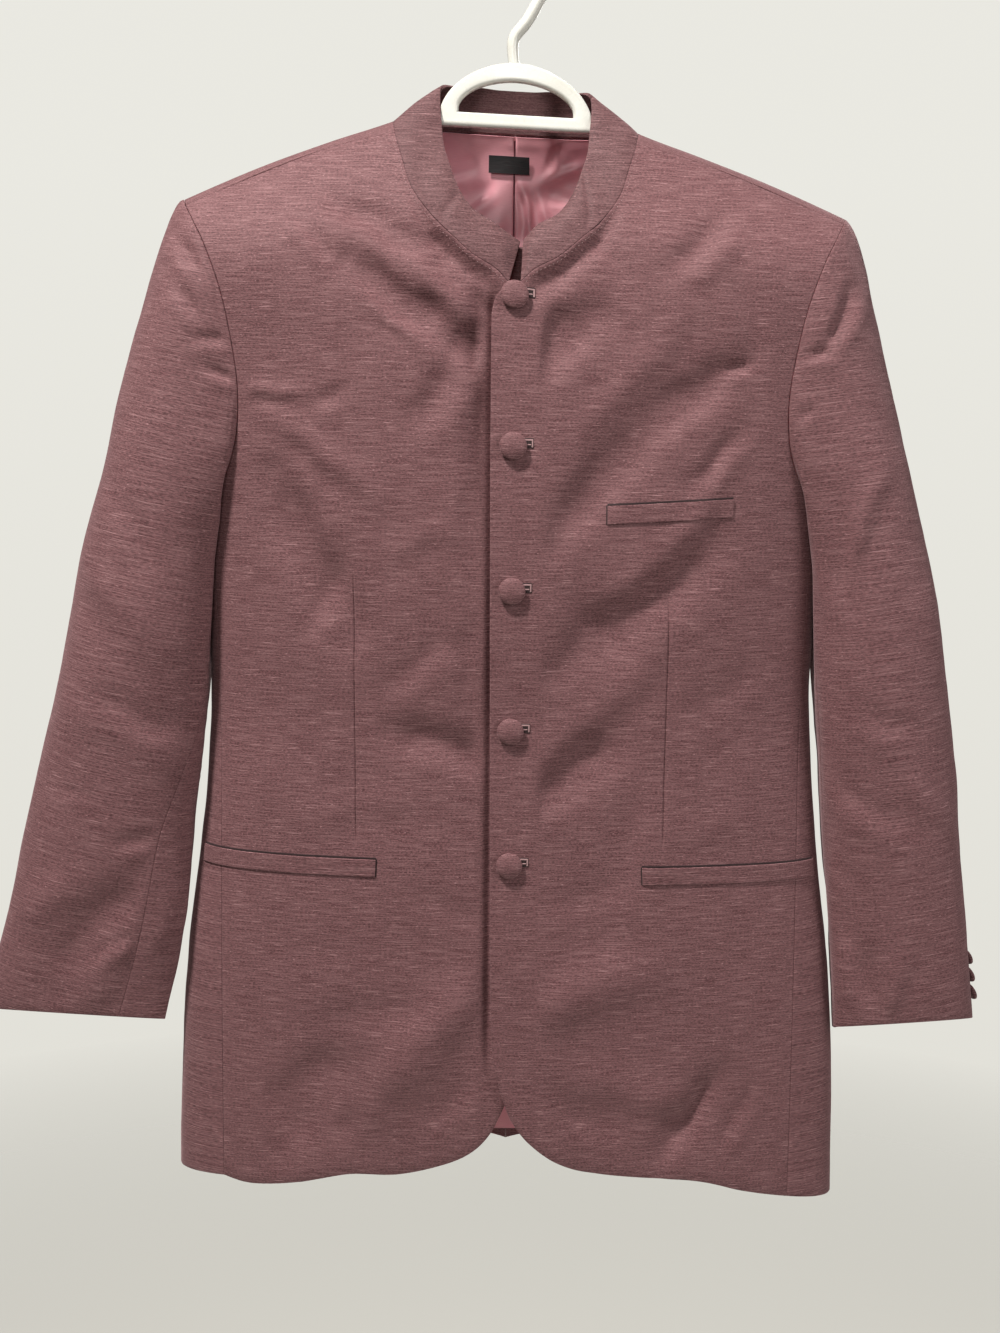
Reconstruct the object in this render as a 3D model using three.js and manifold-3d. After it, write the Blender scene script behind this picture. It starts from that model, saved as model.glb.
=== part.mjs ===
import * as THREE from 'three';
import { mergeVertices } from 'three/addons/utils/BufferGeometryUtils.js';
import Module from 'manifold-3d';

// A lined blazer with a stand collar, hanging on a moulded hanger.
// Millimetres, +Z up. The origin is the top inside of the hanger's hook, the front faces -Y,
// and the wearer's left is +X. A piece is shaped on the +X side and mirrored for the wearer's right.

// Cloth walls and gaps
const BODY_WALL = 2;
const SLEEVE_WALL = 1.8;
const COLLAR_WALL = 2.4;
const LINING_WALL = 1;
const WELT_WALL = 1.6;
const LABEL_WALL = 0.8;
const SEAM_GAP = 0.3;
const HALF_GAP = SEAM_GAP / 2;
const LAID_GAP = 0.6;
const LINING_GAP = 1.2;

// The left front lies this far over the right one, lifted in full up to one x and not at all from another
const OVERLAP = 16;
const OVERLAP_LIFT = 2.6;
const LIFT_FULL_X = 20;
const LIFT_END_X = 70;

// The body's cross-section at each height: half width, and where the front, side line and back lie
const SECTION_POWER = 2.5;
const BODY = [
  { z: -960, halfWidth: 263.5, front: -49, side: 0, back: 35 },
  { z: -880, halfWidth: 261, front: -52, side: 1, back: 38 },
  { z: -814, halfWidth: 257.5, front: -54, side: 2, back: 39 },
  { z: -745, halfWidth: 251, front: -56, side: 3, back: 40 },
  { z: -672, halfWidth: 241, front: -57, side: 3, back: 40 },
  { z: -570, halfWidth: 231, front: -58, side: 4, back: 38 },
  { z: -500, halfWidth: 231.5, front: -63, side: 5, back: 41 },
  { z: -432, halfWidth: 235, front: -66, side: 5, back: 43 },
  { z: -400, halfWidth: 238.5, front: -67, side: 5, back: 44 },
  { z: -345, halfWidth: 249, front: -67, side: 5, back: 45 },
  { z: -300, halfWidth: 263, front: -66, side: 3, back: 46 },
  { z: -250, halfWidth: 291, front: -63, side: 1, back: 46 },
  { z: -220, halfWidth: 312, front: -58, side: 0, back: 46 },
  { z: -203, halfWidth: 321, front: -51, side: 0, back: 46 },
  { z: -184, halfWidth: 330, front: -43, side: 0, back: 46 },
  { z: -160, halfWidth: 338, front: -35, side: 0, back: 47 },
  { z: -120, halfWidth: 345, front: -24, side: 0, back: 49 },
];

// The shoulder ridge, and the height over which the cloth rounds off below it
const RIDGE = [
  { x: -40, z: -113 }, { x: 0, z: -107 }, { x: 40, z: -113 }, { x: 88, z: -134 },
  { x: 135, z: -150 }, { x: 187, z: -169 }, { x: 246, z: -194 }, { x: 330, z: -232 },
];
const ROUNDING = 80;

// Seams, hems and edges, as seen from the front on the +X side
const FRONT_EDGE = [
  { x: -12, z: -815 }, { x: -14, z: -700 }, { x: -16, z: -402 }, { x: -16, z: -272 },
];
const NECK_CORNER_TOP = [
  { x: -16, z: -272 }, { x: -13, z: -261 }, { x: -6, z: -253.5 }, { x: 4, z: -250 },
];
const NECK_CORNER_UNDER = [
  { x: -16, z: -266 }, { x: -15, z: -258 }, { x: -8, z: -253.5 }, { x: 4, z: -250 },
];
const HEM_LEFT = [
  { x: -12, z: -815 }, { x: -9, z: -836 }, { x: -4, z: -857 }, { x: 4, z: -878 }, { x: 18, z: -897 },
  { x: 42, z: -915 }, { x: 73, z: -924 }, { x: 146, z: -931 }, { x: 187, z: -942 }, { x: 229, z: -950 },
];
const HEM_RIGHT = [
  { x: -12, z: -815 }, { x: -9, z: -834 }, { x: -4, z: -852 }, { x: 4, z: -873 }, { x: 14, z: -893 },
  { x: 29, z: -908 }, { x: 51, z: -918 }, { x: 84, z: -926 }, { x: 122, z: -927 }, { x: 162, z: -936 },
  { x: 200, z: -940 }, { x: 229, z: -936 },
];
const SIDE_HEM = {
  left: { front: -950, middle: -957, back: -945 }, right: { front: -936, middle: -938, back: -937 },
};
const BACK_HEM_Z = -935;
const FRONT_SIDE_SEAM = [
  { z: -960, x: 223 }, { z: -814, x: 221.5 }, { z: -672, x: 220 }, { z: -570, x: 219.5 }, { z: -404, x: 223 },
];
const BACK_SIDE_SEAM = [
  { z: -960, x: 226 }, { z: -814, x: 224 }, { z: -672, x: 219 }, { z: -570, x: 218 }, { z: -402, x: 224 },
];
const SHOULDER_SEAM = [
  { x: 87, z: -144.5 }, { x: 138, z: -157 }, { x: 212, z: -186.5 }, { x: 239, z: -197.5 },
];
const ARMHOLE_FRONT = [
  { x: 239, z: -197.5 }, { x: 230.5, z: -211 }, { x: 221, z: -228 }, { x: 210.5, z: -255 }, { x: 203.5, z: -285 },
  { x: 198.5, z: -320 }, { x: 198.5, z: -345 }, { x: 202, z: -367 }, { x: 210, z: -387 }, { x: 223, z: -404 },
];
const ARMHOLE_BACK = [
  { x: 224, z: -402 }, { x: 216, z: -385 }, { x: 211, z: -362 }, { x: 209, z: -330 }, { x: 213, z: -285 },
  { x: 221, z: -245 }, { x: 233, z: -212 }, { x: 240, z: -197.5 },
];
const RIDGE_END_X = 243;
const UNDERARM_Z = -418;
const FRONT_PITCH = ARMHOLE_FRONT[ARMHOLE_FRONT.length - 1];
const BACK_PITCH = ARMHOLE_BACK[0];
const CLOTH_PER_RADIAN = 80;

// The neck seam from the centre front (first row) over the ridge to the centre back (last row), and
// the collar's top edge across from each place. The face tells which side of the ridge the seam is on.
const NECK = [
  { x: 4, z: -250, face: 'front', topX: 5.5, topY: -48, topZ: -219 },
  { x: 14, z: -240.5, face: 'front', topX: 16, topY: -47, topZ: -207.5 },
  { x: 30, z: -231.5, face: 'front', topX: 31, topY: -43, topZ: -198 },
  { x: 46, z: -217.5, face: 'front', topX: 41, topY: -36, topZ: -183 },
  { x: 61, z: -203, face: 'front', topX: 47, topY: -28, topZ: -167 },
  { x: 74, z: -184.5, face: 'front', topX: 51.5, topY: -18, topZ: -152 },
  { x: 81, z: -164, face: 'front', topX: 53.5, topY: -9, topZ: -134.5 },
  { x: 87, z: -144.5, face: 'front', topX: 55, topY: -2, topZ: -117 },
  { x: 88, z: -134, face: 'ridge', topX: 54, topY: 6, topZ: -106.5 },
  { x: 72, z: -133, face: 'back', topX: 44, topY: 18, topZ: -104 },
  { x: 48, z: -132, face: 'back', topX: 28, topY: 25.5, topZ: -102.5 },
  { x: 24, z: -132, face: 'back', topX: 14, topY: 29, topZ: -103 },
  { x: 0, z: -132, face: 'back', topX: 0, topY: 30, topZ: -103 },
];
const NECK_SHOULDER_ROW = 7;
const NECK_RIDGE_ROW = 8;
const NECK_LAST_ROW = 12;
const COLLAR_RIGHT_END = { topX: -4, topY: -46, topZ: -220 };

// The largest folds of each front, as seen from the front with x counted from the centre front
// towards that side. Depth below zero is a trough, above zero a ridge.
const FOLDS = {
  left: [
    { x0: -3, z0: -316, x1: 55, z1: -272, width: 15, depth: -3.5 },
    { x0: 30, z0: -428, x1: 95, z1: -348, width: 16, depth: -3 },
    { x0: 95, z0: -348, x1: 158, z1: -297, width: 15, depth: -2.5 },
    { x0: 31, z0: -527, x1: 150, z1: -438, width: 18, depth: -3 },
    { x0: 12, z0: -628, x1: 81, z1: -578, width: 16, depth: -2.5 },
    { x0: 120, z0: -905, x1: 168, z1: -846, width: 18, depth: -2.5 },
    { x0: 20, z0: -788, x1: 105, z1: -757, width: 20, depth: 2 },
  ],
  right: [
    { x0: 124, z0: -198, x1: 52, z1: -230, width: 12, depth: -3.5 },
    { x0: 114, z0: -241, x1: 45, z1: -290, width: 13, depth: -4 },
    { x0: 45, z0: -290, x1: 18, z1: -303, width: 11, depth: -4 },
    { x0: 178, z0: -393, x1: 120, z1: -500, width: 20, depth: -3.5 },
    { x0: 90, z0: -571, x1: 18, z1: -592, width: 13, depth: -3 },
    { x0: 102, z0: -868, x1: 26, z1: -765, width: 20, depth: 3 },
    { x0: 176, z0: -905, x1: 128, z1: -820, width: 22, depth: -2.5 },
  ],
};
const FOLD_END_SHARE = 0.35;
const FOLD_TAPER = 0.3;
const FOLD_FREE_EDGE = 30;
const FOLD_FADE_SIDE = 175;
const FOLD_FREE_SIDE = 200;

// Rings of each sleeve below the armhole: the outer and inner outline as seen from the front, how
// far the ring reaches forwards and backwards, and how much higher its front is. The cap angle is how
// much further out the sleeve leaves the top of the armhole.
const SLEEVES = {
  left: {
    rings: [
      { outX: 300, outZ: -395, inX: 220, inZ: -462, front: -57, back: 44, rise: 0 },
      { outX: 318, outZ: -465, inX: 227, inZ: -520, front: -57, back: 42, rise: 0 },
      { outX: 330.5, outZ: -535, inX: 235, inZ: -582, front: -55, back: 38, rise: 1 },
      { outX: 342.5, outZ: -612, inX: 241.5, inZ: -650, front: -51, back: 34, rise: 4 },
      { outX: 355, outZ: -705, inX: 248, inZ: -727, front: -45, back: 30, rise: 8 },
      { outX: 368.5, outZ: -810, inX: 254.5, inZ: -819, front: -38, back: 24, rise: 12 },
    ],
    capAngle: -8,
    seams: [
      { t: 0, front: 0.4, back: 0.74 },
      { t: 0.55, front: 0.46, back: 0.86 },
      { t: 1, front: 0.5, back: 0.985 },
    ],
  },
  right: {
    rings: [
      { outX: 306, outZ: -385, inX: 215, inZ: -460, front: -57, back: 44, rise: 0 },
      { outX: 327, outZ: -462, inX: 224, inZ: -520, front: -57, back: 40, rise: 0 },
      { outX: 345, outZ: -545, inX: 232, inZ: -585, front: -55, back: 34, rise: 1 },
      { outX: 364, outZ: -624, inX: 242, inZ: -652, front: -51, back: 24, rise: 2 },
      { outX: 385, outZ: -712, inX: 251, inZ: -733, front: -46, back: 8, rise: 4 },
      { outX: 408.5, outZ: -803, inX: 268.5, inZ: -811, front: -38, back: -6, rise: 6 },
    ],
    capAngle: 26,
    seams: [
      { t: 0, front: 0.4, back: 0.74 },
      { t: 0.54, front: 0.445, back: 0.8 },
      { t: 0.65, front: 0.4, back: 0.81 },
      { t: 0.77, front: 0.356, back: 0.825 },
      { t: 1, front: 0.334, back: 0.845 },
    ],
  },
};
const RING_POWER = 2.2;
const CAP_SHARE = 0.32;
const CAP_RATE = 1;
const RATE_STEP = 0.05;
const BODY_CLEARANCE = 2.5;
const CLEARANCE_BLEND = { start: 0.2, free: 3 };
const ARMHOLE_LIFT = 0.7;
const CLEAR_BELOW_Z = -388;
const CLEAR_ABOVE_Z = -353;

// How the sleeve leaves the armhole round its edge: the turn is its place round the armhole, the
// angle is measured up from the body's surface, and the reach is how stiffly it holds that angle
const LEAVING = [
  { turn: -0.12, angle: 28, reach: 40 }, { turn: 0, angle: 12, reach: 38 }, { turn: 0.12, angle: 28, reach: 40 },
  { turn: 0.26, angle: 45, reach: 40 }, { turn: 0.38, angle: 95, reach: 28 }, { turn: 0.5, angle: 148, reach: 18 },
  { turn: 0.62, angle: 95, reach: 28 }, { turn: 0.74, angle: 45, reach: 40 }, { turn: 0.88, angle: 28, reach: 40 },
  { turn: 1, angle: 12, reach: 38 }, { turn: 1.12, angle: 28, reach: 40 },
];

// Mesh rows and columns; neighbours share their places along the armhole and the neck seam
const EDGE_ROWS = 16;
const CORNER_ROWS = 3;
const NECK_ROWS = 9;
const FRONT_SEAM_ROWS = 11;
const ARMHOLE_FRONT_ROWS = 17;
const FRONT_COLUMNS = 12;
const BACK_MIDDLE_Z = -410;
const BACK_LOW_ROWS = 8;
const BACK_HIGH_ROWS = 7;
const BACK_NECK_ROWS = 6;
const OVER_RIDGE_ROWS = 3;
const ARMHOLE_BACK_ROWS = BACK_HIGH_ROWS + BACK_NECK_ROWS;
const BACK_COLUMNS = 9;
const SIDE_ROWS = 14;
const SIDE_COLUMNS = 6;
const CAP_ROWS = 6;
const SLEEVE_ROWS = 10;
const COLLAR_ROWS = 3;
const LINING_ROWS = 16;
const LINING_COLUMNS = 14;
const ROUND_SPACING = 1.6;

// Trimmings
const BUTTON = { radius: 9.8, height: 5.5, sides: 12 };
const BUTTON_HEIGHTS = [-259, -363, -466, -570, -672];
const CUFF_BUTTON = { radius: 7.2, height: 3.4, sides: 10 };
const CUFF_BUTTON_ROWS = { left: [-763, -777, -791], right: [-760, -774, -788] };
const CUFF_BUTTON_TILT = 0.3;
const CUFF_BUTTON_SEAT = 2.2;
const BREAST_WELT = { x0: 68, z0: -411.5, x1: 159, z1: -406, height: 13.5, columns: 10 };
const POCKET_WELT = {
  left: { x0: 100, z0: -682, z1: -684 }, right: { x0: 100, z0: -677.5, z1: -676 },
  height: 13.5, beyondSeam: 16, columns: 16, spacing: 1.4,
};
const LABEL = { x0: -20, x1: 11, z0: -147, z1: -160 };
const LINING_HEM_Z = -926;
const LINING_NECK_Z = -133.5;
const LINING_RIDGE_DROP = 20;
const LINING_SHOULDER_Z = -212;
const LINING_SIDE_INSET = 7;

// Hanger, one moulding: a bar with an arch over it, arms under the shoulders, a stem and a hook
const HANGER_DEPTH = 9;
const HANGER_BEVEL = 2.5;
const ARM_DROP = BODY_WALL + 1.2;
const ARM_XS = [88, 110, 135, 160, 187, 204];
const ARM_HEIGHT = 8;
const ARM_TIP = { outX: 3, downZ: 4 };
const BAR_TOP_Z = -123;
const BAR_BOTTOM_Z = -136;
const BAR_END_X = 60;
const ARM_ROOT = [{ x: 70, z: -132 }, { x: 80, z: -136 }];
const ARCH_OUTER = { halfWidth: 52.5, top: -90, foot: -128, power: 2.1, points: 16 };
const ARCH_INNER = { halfWidth: 44.3, top: -103, foot: BAR_TOP_Z, power: 2.4, points: 14 };
const HOOK = { radius: 27.5, rod: 4.5, sides: 10, steps: 40, startAngle: -52, endAngle: 200, arcPoints: 14 };
const HOLE_FOOT_SHARE = 0.05;
const HOOK_CENTRE_Z = HOOK.rod - HOOK.radius;
const STEM = [{ x: 0, z: -98 }, { x: -2.5, z: -84 }, { x: -1.5, z: -72 }, { x: 8, z: -60 }];

// The hanger hangs a little down on the wearer's left, and the shoulders with it: how far, over which
// x it grows, and the heights between which it fades out towards the hook and the chest
const LEAN = { drop: 5, growX: 100, hookZ: -62, archZ: -98, shoulderZ: -240, chestZ: -450 };

// Colours and finish
const CLOTH = { color: 0x80595c, roughness: 0.75, metalness: 0 };
const SATIN = { color: 0xb0707c, roughness: 0.4, metalness: 0 };
const LABEL_CLOTH = { color: 0x242324, roughness: 0.8, metalness: 0 };
const PLASTIC = { color: 0xeeeeea, roughness: 0.3, metalness: 0 };

// Tables

// The value of one column where the key column has the given value, as a smooth curve through the rows.
function look(rows, keyName, key, name) {
  const rising = rows[rows.length - 1][keyName] > rows[0][keyName];
  let low = 0;
  while (low < rows.length - 2 && (rising ? key > rows[low + 1][keyName] : key < rows[low + 1][keyName])) {
    low += 1;
  }
  const slope = (i) => {
    const before = rows[Math.max(i - 1, 0)];
    const after = rows[Math.min(i + 1, rows.length - 1)];
    return (after[name] - before[name]) / (after[keyName] - before[keyName]);
  };
  const a = rows[low];
  const b = rows[low + 1];
  const step = b[keyName] - a[keyName];
  const s = THREE.MathUtils.clamp((key - a[keyName]) / step, 0, 1);
  return hermite(a[name], slope(low) * step, b[name], slope(low + 1) * step, s);
}

function hermite(start, startRate, end, endRate, s) {
  const rest = 1 - s;
  const startPart = start * (1 + 2 * s) * rest * rest + startRate * s * rest * rest;
  const endPart = end * s * s * (3 - 2 * s) - endRate * s * s * rest;
  return startPart + endPart;
}

// The same smooth curve, with the row's number as the key.
function atRow(rows, name, place) {
  const low = THREE.MathUtils.clamp(Math.floor(place), 0, rows.length - 2);
  const value = (i) => rows[THREE.MathUtils.clamp(i, 0, rows.length - 1)][name];
  const startRate = (value(low + 1) - value(low - 1)) / (low > 0 ? 2 : 1);
  const endRate = (value(low + 2) - value(low)) / (low < rows.length - 2 ? 2 : 1);
  return hermite(value(low), startRate, value(low + 1), endRate, place - low);
}

// Evenly spaced points along the curve through a table of points in (x, z).
function spaced(rows, count) {
  const curve = new THREE.SplineCurve(rows.map((row) => new THREE.Vector2(row.x, row.z)));
  return curve.getSpacedPoints(count).map((point) => ({ x: point.x, z: point.y }));
}

function steps(from, to, count) {
  return Array.from({ length: count + 1 }, (unused, i) => from + ((to - from) * i) / count);
}

// The body's surface, on the +X side

const ridgeZ = (x) => look(RIDGE, 'x', x, 'z');

// The drop is the way down from the ridge along the cloth: below zero on the front, above on the back.
function dropAt(x, z, face) {
  const depth = Math.max(ridgeZ(x) - z, 0);
  const round = ROUNDING * Math.acos(Math.max(1 - depth / ROUNDING, 0));
  const drop = depth < ROUNDING ? round : (ROUNDING * Math.PI) / 2 + depth - ROUNDING;
  return face === 'front' ? -drop : drop;
}

function onShoulder(x, drop) {
  const quarter = (ROUNDING * Math.PI) / 2;
  const size = Math.abs(drop);
  const angle = Math.min(size, quarter) / ROUNDING;
  const z = ridgeZ(x) - ROUNDING * (1 - Math.cos(angle)) - Math.max(size - quarter, 0);
  const halfWidth = look(BODY, 'z', z, 'halfWidth');
  const share = Math.min(Math.abs(x) / halfWidth, 1);
  const side = look(BODY, 'z', z, 'side');
  const reach = look(BODY, 'z', z, drop < 0 ? 'front' : 'back') - side;
  const across = (1 - share ** SECTION_POWER) ** (1 / SECTION_POWER);
  return new THREE.Vector3(x, side + reach * across * Math.sin(angle), z);
}

// The turn runs from -90 degrees at the centre front through 0 at the side to 90 at the centre back.
function onSide(turn, z) {
  const halfWidth = look(BODY, 'z', z, 'halfWidth');
  const side = look(BODY, 'z', z, 'side');
  const reach = look(BODY, 'z', z, turn < 0 ? 'front' : 'back') - side;
  const across = Math.abs(Math.cos(turn)) ** (2 / SECTION_POWER);
  const depth = Math.abs(Math.sin(turn)) ** (2 / SECTION_POWER);
  return new THREE.Vector3(halfWidth * across, side + reach * depth, z);
}

function turnAt(x, z, face) {
  const share = Math.min(x / look(BODY, 'z', z, 'halfWidth'), 1);
  const turn = Math.acos(share ** (SECTION_POWER / 2));
  return face === 'front' ? -turn : turn;
}

// The outward normal of a surface given by two numbers.
function normalOf(surface, a, b, stepA, stepB) {
  const alongA = surface(a + stepA, b).sub(surface(a - stepA, b));
  const alongB = surface(a, b + stepB).sub(surface(a, b - stepB));
  return alongA.cross(alongB).normalize();
}

function smooth(from, to, value) {
  return THREE.MathUtils.smoothstep(value, from, to);
}

// How far folds and the front overlap move the cloth out from the plain form.
function raised(side, x, z) {
  let height = 0;
  for (const fold of FOLDS[side]) {
    const alongX = fold.x1 - fold.x0;
    const alongZ = fold.z1 - fold.z0;
    const length = Math.hypot(alongX, alongZ);
    const along = ((x - fold.x0) * alongX + (z - fold.z0) * alongZ) / (length * length);
    const off = ((x - fold.x0) * alongZ - (z - fold.z0) * alongX) / length;
    const beyond = Math.max(-along, along - 1, 0) * length;
    const taper = FOLD_END_SHARE + (1 - FOLD_END_SHARE) * smooth(0, FOLD_TAPER, Math.min(along, 1 - along));
    height += fold.depth * taper * Math.exp(-(off * off + beyond * beyond) / (fold.width * fold.width));
  }
  height *= smooth(OVERLAP, FOLD_FREE_EDGE, x) * (1 - smooth(FOLD_FADE_SIDE, FOLD_FREE_SIDE, x));
  const lift = side === 'left' ? OVERLAP_LIFT * (1 - smooth(LIFT_FULL_X, LIFT_END_X, x)) : 0;
  return height + lift;
}

// A place on the cloth's outer surface, with its outward normal.
function shoulderPlace(side, x, drop) {
  const normal = normalOf(onShoulder, x, drop, 0.2, 0.2);
  const point = onShoulder(x, drop);
  const height = drop < 0 ? raised(side, x, point.z) : 0;
  return { point: point.addScaledVector(normal, height), normal };
}

function frontPlace(side, x, z) {
  return shoulderPlace(side, x, dropAt(x, z, 'front'));
}

function sidePlace(side, turn, z) {
  const normal = normalOf(onSide, turn, z, 0.002, 0.2);
  const point = onSide(turn, z);
  const height = turn < 0 ? raised(side, point.x, z) : 0;
  return { point: point.addScaledVector(normal, height), normal };
}

// Meshes

// A closed wall between two grids of points, rows by columns, with the outer grid facing out.
function wall(outer, inner, side) {
  const rows = outer.length;
  const columns = outer[0].length;
  const points = [...outer.flat(), ...inner.flat()];
  const faces = [];
  const quad = (a, b, c, d) => faces.push([a, b, c], [a, c, d]);
  const out = (i, j) => i * columns + j;
  const back = (i, j) => rows * columns + out(i, j);
  for (let i = 0; i < rows - 1; i += 1) {
    for (let j = 0; j < columns - 1; j += 1) {
      quad(out(i, j), out(i, j + 1), out(i + 1, j + 1), out(i + 1, j));
      quad(back(i, j), back(i + 1, j), back(i + 1, j + 1), back(i, j + 1));
    }
    quad(out(i, 0), out(i + 1, 0), back(i + 1, 0), back(i, 0));
    quad(out(i + 1, columns - 1), out(i, columns - 1), back(i, columns - 1), back(i + 1, columns - 1));
  }
  for (let j = 0; j < columns - 1; j += 1) {
    quad(out(0, j + 1), out(0, j), back(0, j), back(0, j + 1));
    quad(out(rows - 1, j), out(rows - 1, j + 1), back(rows - 1, j + 1), back(rows - 1, j));
  }
  const mirror = side === 'right' ? -1 : 1;
  const index = faces.flatMap((face) => (mirror > 0 ? face : [face[0], face[2], face[1]]));
  const geometry = new THREE.BufferGeometry();
  const position = points.flatMap((point) => [point.x * mirror, point.y, point.z]);
  geometry.setAttribute('position', new THREE.Float32BufferAttribute(position, 3));
  geometry.setIndex(index);
  return facingOut(geometry);
}

// The same mesh with its faces turned over if it encloses a negative volume.
function facingOut(geometry) {
  const index = geometry.getIndex().array;
  const position = geometry.getAttribute('position');
  const corner = (i) => new THREE.Vector3().fromBufferAttribute(position, index[i]);
  let volume = 0;
  for (let i = 0; i < index.length; i += 3) {
    volume += corner(i).dot(corner(i + 1).cross(corner(i + 2)));
  }
  if (volume < 0) {
    for (let i = 0; i < index.length; i += 3) {
      [index[i + 1], index[i + 2]] = [index[i + 2], index[i + 1]];
    }
  }
  return geometry;
}

// A wall from a grid of places, as thick as asked and set in by the given inset.
function clothWall(places, thickness, side, inset = 0) {
  const layer = (depth) => places.map((row) => row.map((place) => (
    place.point.clone().addScaledVector(place.normal, -depth))));
  return wall(layer(inset), layer(inset + thickness), side);
}

// A grid that fills the outline between a left and right edge (the same number of rows) and a
// bottom and top edge (the same number of columns), given as points in a plane.
function filled(left, right, bottom, top) {
  const rows = left.length - 1;
  const columns = bottom.length - 1;
  const between = (a, b, s) => ({ x: a.x + (b.x - a.x) * s, z: a.z + (b.z - a.z) * s });
  return left.map((start, i) => bottom.map((unused, j) => {
    const v = i / rows;
    const u = j / columns;
    const level = between(start, right[i], u);
    const low = between(left[0], right[0], u);
    const high = between(left[rows], right[rows], u);
    const lowShare = (1 - v) ** 3;
    const highShare = v ** 3;
    return {
      x: level.x + (bottom[j].x - low.x) * lowShare + (top[j].x - high.x) * highShare,
      z: level.z + (bottom[j].z - low.z) * lowShare + (top[j].z - high.z) * highShare,
    };
  }));
}

// The armhole, from the ridge down the front, under the arm and up the back to the ridge

const frontTurn = turnAt(FRONT_PITCH.x, FRONT_PITCH.z, 'front');
const backTurn = turnAt(BACK_PITCH.x, BACK_PITCH.z, 'back');

function underarmZ(turn) {
  const end = turn < 0 ? frontTurn : backTurn;
  const endZ = turn < 0 ? FRONT_PITCH.z : BACK_PITCH.z;
  return UNDERARM_Z + (endZ - UNDERARM_Z) * (turn / end) ** 2;
}

// The edge's mesh places, each with a function that gives its place on the cloth of either side.
function armholeEdge() {
  const overRidge = steps(0, OVER_RIDGE_ROWS, OVER_RIDGE_ROWS).map((i) => {
    const seamX = ARMHOLE_FRONT[0].x;
    const x = RIDGE_END_X + ((seamX - RIDGE_END_X) * i) / OVER_RIDGE_ROWS;
    return { x, drop: (dropAt(seamX, ARMHOLE_FRONT[0].z, 'front') * i) / OVER_RIDGE_ROWS };
  });
  const front = spaced(ARMHOLE_FRONT, ARMHOLE_FRONT_ROWS).map((row) => (
    { x: row.x, z: row.z, drop: dropAt(row.x, row.z, 'front') }));
  const under = steps(frontTurn, backTurn, SIDE_COLUMNS).map((turn) => ({ turn, z: underarmZ(turn) }));
  const backRows = [...ARMHOLE_BACK.slice(0, -1).map((row) => ({ x: row.x, z: dropAt(row.x, row.z, 'back') })),
    { x: RIDGE_END_X, z: 0 }];
  const back = spaced(backRows, ARMHOLE_BACK_ROWS).map((row) => ({ x: row.x, drop: row.z }));
  return { overRidge, front, under, back };
}

const ARMHOLE = armholeEdge();

function edgePlace(side, entry) {
  return entry.turn === undefined ? shoulderPlace(side, entry.x, entry.drop) : sidePlace(side, entry.turn, entry.z);
}

// Body panels

function frontPanel(side) {
  const corner = side === 'left' ? NECK_CORNER_TOP : NECK_CORNER_UNDER;
  const hem = side === 'left' ? HEM_LEFT : HEM_RIGHT;
  const edge = [...FRONT_EDGE.slice(0, -1), corner[0]];
  const neck = steps(0, NECK_SHOULDER_ROW, NECK_ROWS).map((row) => (
    { x: atRow(NECK, 'x', row), z: atRow(NECK, 'z', row) }));
  const left = [...spaced(edge, EDGE_ROWS), ...spaced(corner, CORNER_ROWS).slice(1), ...neck.slice(1)];
  const seam = steps(hem[hem.length - 1].z, FRONT_PITCH.z, FRONT_SEAM_ROWS).map((z) => (
    { x: look(FRONT_SIDE_SEAM, 'z', z, 'x') - HALF_GAP, z }));
  const armhole = [...ARMHOLE.front].reverse().map((row) => ({ x: row.x - HALF_GAP, z: row.z }));
  const right = [...seam, ...armhole.slice(1)];
  const bottom = spaced([...hem.slice(0, -1), right[0]], FRONT_COLUMNS);
  const shoulder = [...SHOULDER_SEAM.slice(0, -1), armhole[armhole.length - 1]];
  const top = spaced(shoulder, FRONT_COLUMNS);
  const grid = filled(left, right, bottom, top);
  const lowered = grid.map((row, i) => row.map((spot) => (
    { x: spot.x, z: spot.z - (i === grid.length - 1 ? HALF_GAP : 0) })));
  const places = lowered.map((row) => row.map((spot) => frontPlace(side, spot.x, spot.z)));
  return clothWall(places, BODY_WALL, side);
}

function sidePanel(side) {
  const { front, middle, back } = SIDE_HEM[side];
  const gapTurn = HALF_GAP / CLOTH_PER_RADIAN;
  const places = steps(0, 1, SIDE_ROWS).map((v) => steps(0, 1, SIDE_COLUMNS).map((u) => {
    const topTurn = frontTurn + (backTurn - frontTurn) * u;
    const hemZ = front + (back - front) * u + (2 * middle - front - back) * 2 * u * (1 - u);
    const z = hemZ + (underarmZ(topTurn) - HALF_GAP - hemZ) * v;
    const from = turnAt(look(FRONT_SIDE_SEAM, 'z', z, 'x'), z, 'front') + gapTurn;
    const to = turnAt(look(BACK_SIDE_SEAM, 'z', z, 'x'), z, 'back') - gapTurn;
    return sidePlace(side, from + (to - from) * u, z);
  }));
  return clothWall(places, BODY_WALL, side);
}

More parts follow.
